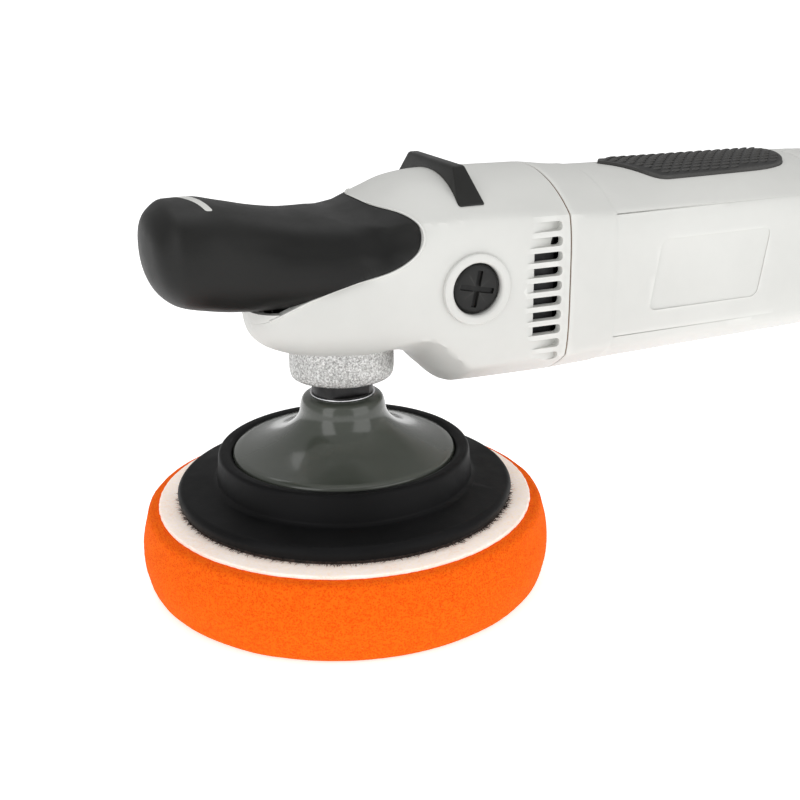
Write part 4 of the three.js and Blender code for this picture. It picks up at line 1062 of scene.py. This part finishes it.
for i in range(5):
    x, tall = 194.5 + 5 * i, 20 - i
    spans.append(((x - 1.3, -60, 108 - tall), (x + 1.3, 60, 108 + tall)))
    spans += [((x - 1.3, way * 13 - 9, 130.5), (x + 1.3, way * 13 + 9, 160)) for way in (1, -1)]
combine(shell, boxes("slot_tool", spans))
combine(shell, rod("lock_hole", 4.8, -45, 0, "Y", (256, 0, 108), 48))
combine(shell, rod("gland_hole", 7.2, 370, 390, "X", (0, 0, 103), 48))
for x, z in HANDLE_SCREWS:
    bore = [(0, -12), (2.1, -12), (2.1, 12), (3.6, 12), (3.6, 50), (0, 50)]
    combine(shell, turned("screw_bore", bore, "Y", (x, 0, z), 32))
for way, node in ((-1, "handle_shell_left"), (1, "handle_shell_right")):
    half = bpy.data.objects.new("grey_" + node, shell.data.copy())
    bpy.context.scene.collection.objects.link(half)
    low, high = sorted((way * 0.15, -way * 60))
    combine(half, boxes("half_tool", [((150, low, 40), (420, high, 180))]))
    smooth(half, 30)
    settle(half, shell_grey, "casing", "casing", node)
bpy.data.objects.remove(shell)

# ------------------------------------------------------------------ handle screws
# Zinc-plated pan-head screws with a cross recess sit deep in their pockets in the right half shell.
screw_steel = metal("zinc_plated_steel", (0.40, 0.40, 0.39), (0.62, 0.61, 0.58), 0.3, 300, 2000, 0.05)
for number, (x, z) in enumerate(HANDLE_SCREWS, 1):
    low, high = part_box(f"handle_screw_{number}")
    head, tip = high.y / MM, low.y / MM
    run = rounded(
        [
            (0, tip, 0), (1.8, tip + 1, 0.3), (1.8, head - 2.6, 0), (3.3, head - 2.6, 0.3),
            (3.1, head - 0.4, 0.8), (0, head, 0),
        ],
        4,
    )
    screw = turned("pan_screw", run, "Y", (x, 0, z), 40)
    cross(screw, (1.9, 1.3, 0.32), (x, head, z), (20, 110))
    smooth(screw, 35)
    settle(screw, screw_steel, "casing", "steel", f"handle_screw_{number}")

# ------------------------------------------------------------------ rear grip
# A sleeve of black rubber is stretched over the back of the handle, ribbed across for a sure hold,
# with a rolled bead at each end. Below, it is open for the trigger.
sleeve_from, sleeve_to = 266, 350
end_bead = ((0, -0.5), (0.3, -1.3), (1.2, -1.75), (3, -1.75), (4, -1.3))
places = [(sleeve_from + inward, inset) for inward, inset in end_bead]
x = sleeve_from + 6.0
while x < sleeve_to - 9:
    places += [(x, -1.3), (x + 0.5, -1.65), (x + 1.5, -1.85), (x + 2.5, -1.65), (x + 3.0, -1.3)]
    x += 4.4
places += [(sleeve_to - inward, inset) for inward, inset in end_bead[::-1]]
sleeve = loft("ribbed_sleeve", handle_at, places, 112)
combine(sleeve, loft("sleeve_inside", handle_at, along(260, 356, 3, -0.3), 112))
combine(sleeve, box_solid("trigger_room", (185, -9.1, 60), (315, 9.1, 92), 1.5, 3))
smooth(sleeve, 40)
settle(sleeve, grip_rubber, "casing", "rubber", "rear_grip")

# ------------------------------------------------------------------ trigger
# The paddle trigger is a hollow black nylon lever, pivoted at its front, with finger ribs below.
PIVOT_X, PIVOT_Z = 250, 93.5
lever = [
    (-4, -3, 2), (-2.6, 3, 2.5), (3, 3.6, 2.5), (10, -3.6, 3), (50, -5.2, 2), (55, -6, 1.5), (57, -9, 2),
    (52, -14.5, 3), (38, -17.4, 6), (22, -17.6, 6), (8, -15, 5), (-1, -9, 4),
]
outline = closed([(PIVOT_X + a, PIVOT_Z + b, r) for a, b, r in lever], 5)
paddle = prism("paddle", outline, -7.5, 7.5)
rims = bmesh.new()
rims.from_mesh(paddle.data)
edges = []
for edge in rims.edges:
    near, far = (vert.co.y for vert in edge.verts)
    if abs(abs(near) - 0.0075) < 1e-6 and abs(near - far) < 1e-6:
        edges.append(edge)
soften(rims, edges, 1.1, 4)
rims.to_mesh(paddle.data)
rims.free()
combine(paddle, rod("pin_hole", 1.8, -20, 20, "Y", (PIVOT_X, 0, PIVOT_Z)))
ribs = []
for i in range(8):
    start, rib_top = PIVOT_X + 16 + 4 * i, PIVOT_Z - 16.2 + (0.5 if i < 6 else 1.2)
    ribs.append(((start, -5.5, 70), (start + 1.2, 5.5, rib_top)))
combine(paddle, boxes("rib_tool", ribs))
smooth(paddle, 32)
settle(paddle, black_nylon, "trigger", "black_plastic", "trigger")

# ------------------------------------------------------------------ lock button
# The lock-on button is a small domed nylon pin on the left, with a collar inside that holds it.
low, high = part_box("lock_button")
face, back = low.y / MM, high.y / MM
run = rounded(
    [
        (0, face, 0), (3.4, face + 0.15, 0), (4.5, face + 0.5, 1), (4.5, back - 2.4, 0), (5.9, back - 2.4, 0.2),
        (5.9, back - 0.4, 0.2), (4.5, back - 0.4, 0), (4.5, back, 0.3), (0, back, 0),
    ],
    5,
)
lock = turned("lock_pin", run, "Y", (256, 0, 108), 64)
for middle in (1.4, 2.5):
    near, far, low, high = middle - 0.18, middle + 0.18, face - 0.4, face + 0.4
    run = [(near, low), (far, low), (far, high), (near, high), (near, low)]
    combine(lock, turned("ring_tool", run, "Y", (256, 0, 108), 48))
smooth(lock, 32)
settle(lock, black_nylon, "lock_button", "black_plastic", "lock_button")

# ------------------------------------------------------------------ speed dial
# The thumbwheel that sets the speed stands edge-on in the top of the handle. It is finely toothed.
knurl = []
for i in range(80):
    angle = 2 * pi * i / 80
    radius = 12.5 - (0.65 if i % 2 else 0)
    knurl.append(Vector((232 + radius * cos(angle), 122 + radius * sin(angle))))
dial = prism("thumbwheel", knurl, -2.6, 2.6)
for way in (1, -1):
    corner = [(11.4, way * 3.0), (13.5, way * 1.5), (13.5, way * 3.0), (11.4, way * 3.0)]
    tool = turned("bevel_tool", corner, "Y", (232, 0, 122), 80)
    combine(dial, tool)
combine(dial, rod("axle", 2, -6, 6, "Y", (232, 0, 122)), "UNION")
smooth(dial, 30)
settle(dial, black_nylon, "speed_dial", "black_plastic", "speed_dial")

# ------------------------------------------------------------------ cord inlet
# A rubber gland closes the tail of the handle where the mains cord enters. It has three soft rings.
low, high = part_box("cord_inlet")
start, end = low.x / MM, high.x / MM
run = rounded(
    [
        (3.6, start, 0), (9, start, 0.4), (9, start + 5.6, 0.4), (7, start + 5.6, 0), (7, end - 5.4, 0),
        (6.6, end - 5.0, 0.3), (7, end - 4.4, 0.3), (7, end - 3.4, 0.3), (6.5, end - 3.0, 0.3),
        (6.9, end - 2.4, 0.3), (6.8, end - 1.2, 0.5), (5.6, end, 0.6), (4.2, end, 0.4), (3.6, end - 0.8, 0.3),
        (3.6, start, 0),
    ],
    4,
)
gland = turned("cord_gland", run, "X", (0, 0, 103), 64)
smooth(gland, 40)
settle(gland, grip_rubber, "casing", "rubber", "cord_inlet")

# ------------------------------------------------------------------ inner parts
# Gears, bearings, motor and switch stay as they are inside the casing, each in its own metal,
# copper, carbon or board finish. They are seen through the vents and when the casing is lifted off.
# The gear case and bearing plate are coloured near black as painted shade, so the vents read as dark openings.
# Near-black casting colour: painted shade for the gear case and bearing plate seen through the vents.
shade_dark_casting = metal("casting_dark_as_painted_shade", (0.030, 0.030, 0.031), (0.055, 0.055, 0.057), 0.55, 90, 800, 0.3, 0.6)
ground_steel = metal("ground_steel", (0.42, 0.42, 0.43), (0.60, 0.60, 0.62), 0.26, 240, 2400, 0.04)
bronze = metal("sintered_bronze", (0.42, 0.24, 0.09), (0.60, 0.37, 0.15), 0.38, 300, 1800, 0.12)
carbon = moulded("carbon_block", (0.014, 0.014, 0.015), (0.032, 0.032, 0.034), 0.5, 200, 2600, 0.2, 0.6)
board_green = moulded("green_board", (0.010, 0.085, 0.038), (0.016, 0.13, 0.055), 0.32, 80, 1400, 0.05, 0.4)
inner_nylon = moulded(
    "inner_nylon", (0.013, 0.013, 0.014), (0.024, 0.024, 0.026), 0.48, 40, 1400, 0.15, 0.6
)
seal_rubber = moulded("seal_rubber", (0.015, 0.015, 0.016), (0.026, 0.026, 0.028), 0.6, 60, 1600, 0.2, 0.5)

copper, tree, shader = new_material("enamelled_copper")
strands = tree.nodes.new("ShaderNodeTexWave")
strands.wave_type, strands.bands_direction = "RINGS", "X"
strands.inputs["Scale"].default_value = 380
strands.inputs["Distortion"].default_value = 1.5
tree.links.new(coordinates(tree), strands.inputs["Vector"])
coppers = [(0.1, (0.22, 0.055, 0.02)), (0.9, (0.62, 0.21, 0.085))]
tree.links.new(ramp(tree, strands.outputs["Fac"], coppers), shader.inputs["Base Color"])
shader.inputs["Metallic"].default_value = 0.85
shader.inputs["Roughness"].default_value = 0.32
tree.links.new(bumped(tree, strands.outputs["Fac"], 0.5, 0.0004), shader.inputs["Normal"])

laminate, tree, shader = new_material("laminated_iron")
sheets = tree.nodes.new("ShaderNodeTexWave")
sheets.wave_type, sheets.bands_direction = "BANDS", "X"
sheets.inputs["Scale"].default_value = 320
sheets.inputs["Distortion"].default_value = 0.2
tree.links.new(coordinates(tree), sheets.inputs["Vector"])
irons = [(0.1, (0.10, 0.10, 0.105)), (0.9, (0.34, 0.335, 0.33))]
tree.links.new(ramp(tree, sheets.outputs["Fac"], irons), shader.inputs["Base Color"])
shader.inputs["Metallic"].default_value = 0.9
tree.links.new(spread(tree, noise_node(tree, 300, 4), 0.34, 0.56), shader.inputs["Roughness"])
tree.links.new(bumped(tree, sheets.outputs["Fac"], 0.4, 0.0002), shader.inputs["Normal"])

commutator_copper = metal("turned_copper", (0.55, 0.22, 0.10), (0.80, 0.36, 0.18), 0.22, 260, 2400, 0.04)
FINISHES = (
    (shade_dark_casting, "gear_case bearing_plate"),
    (ground_steel, "spindle_bearing_inner spindle_bearing_outer crown_gear gear_retaining_ring hub_insert"),
    (ground_steel, "pinion_shaft intermediate_gear intermediate_bearing armature_shaft trigger_pin"),
    (ground_steel, "front_bearing rear_bearing"),
    (ground_steel, "housing_screw_1 housing_screw_2 housing_screw_3 housing_screw_4"),
    (bronze, "upper_bush intermediate_bush brush_holder_left brush_holder_right"),
    (carbon, "carbon_brush_left carbon_brush_right"),
    (board_green, "speed_control_board"),
    (inner_nylon, "cooling_fan air_baffle switch_body"),
    (seal_rubber, "spindle_seal"),
    (copper, "armature_winding_front armature_winding_rear field_coil_upper field_coil_lower"),
    (commutator_copper, "commutator"),
    (laminate, "armature_core stator_core"),
)
for material, names in FINISHES:
    for name in names.split():
        nodes[name].data.materials.clear()
        nodes[name].data.materials.append(material)
bpy.data.objects.remove(head_form)
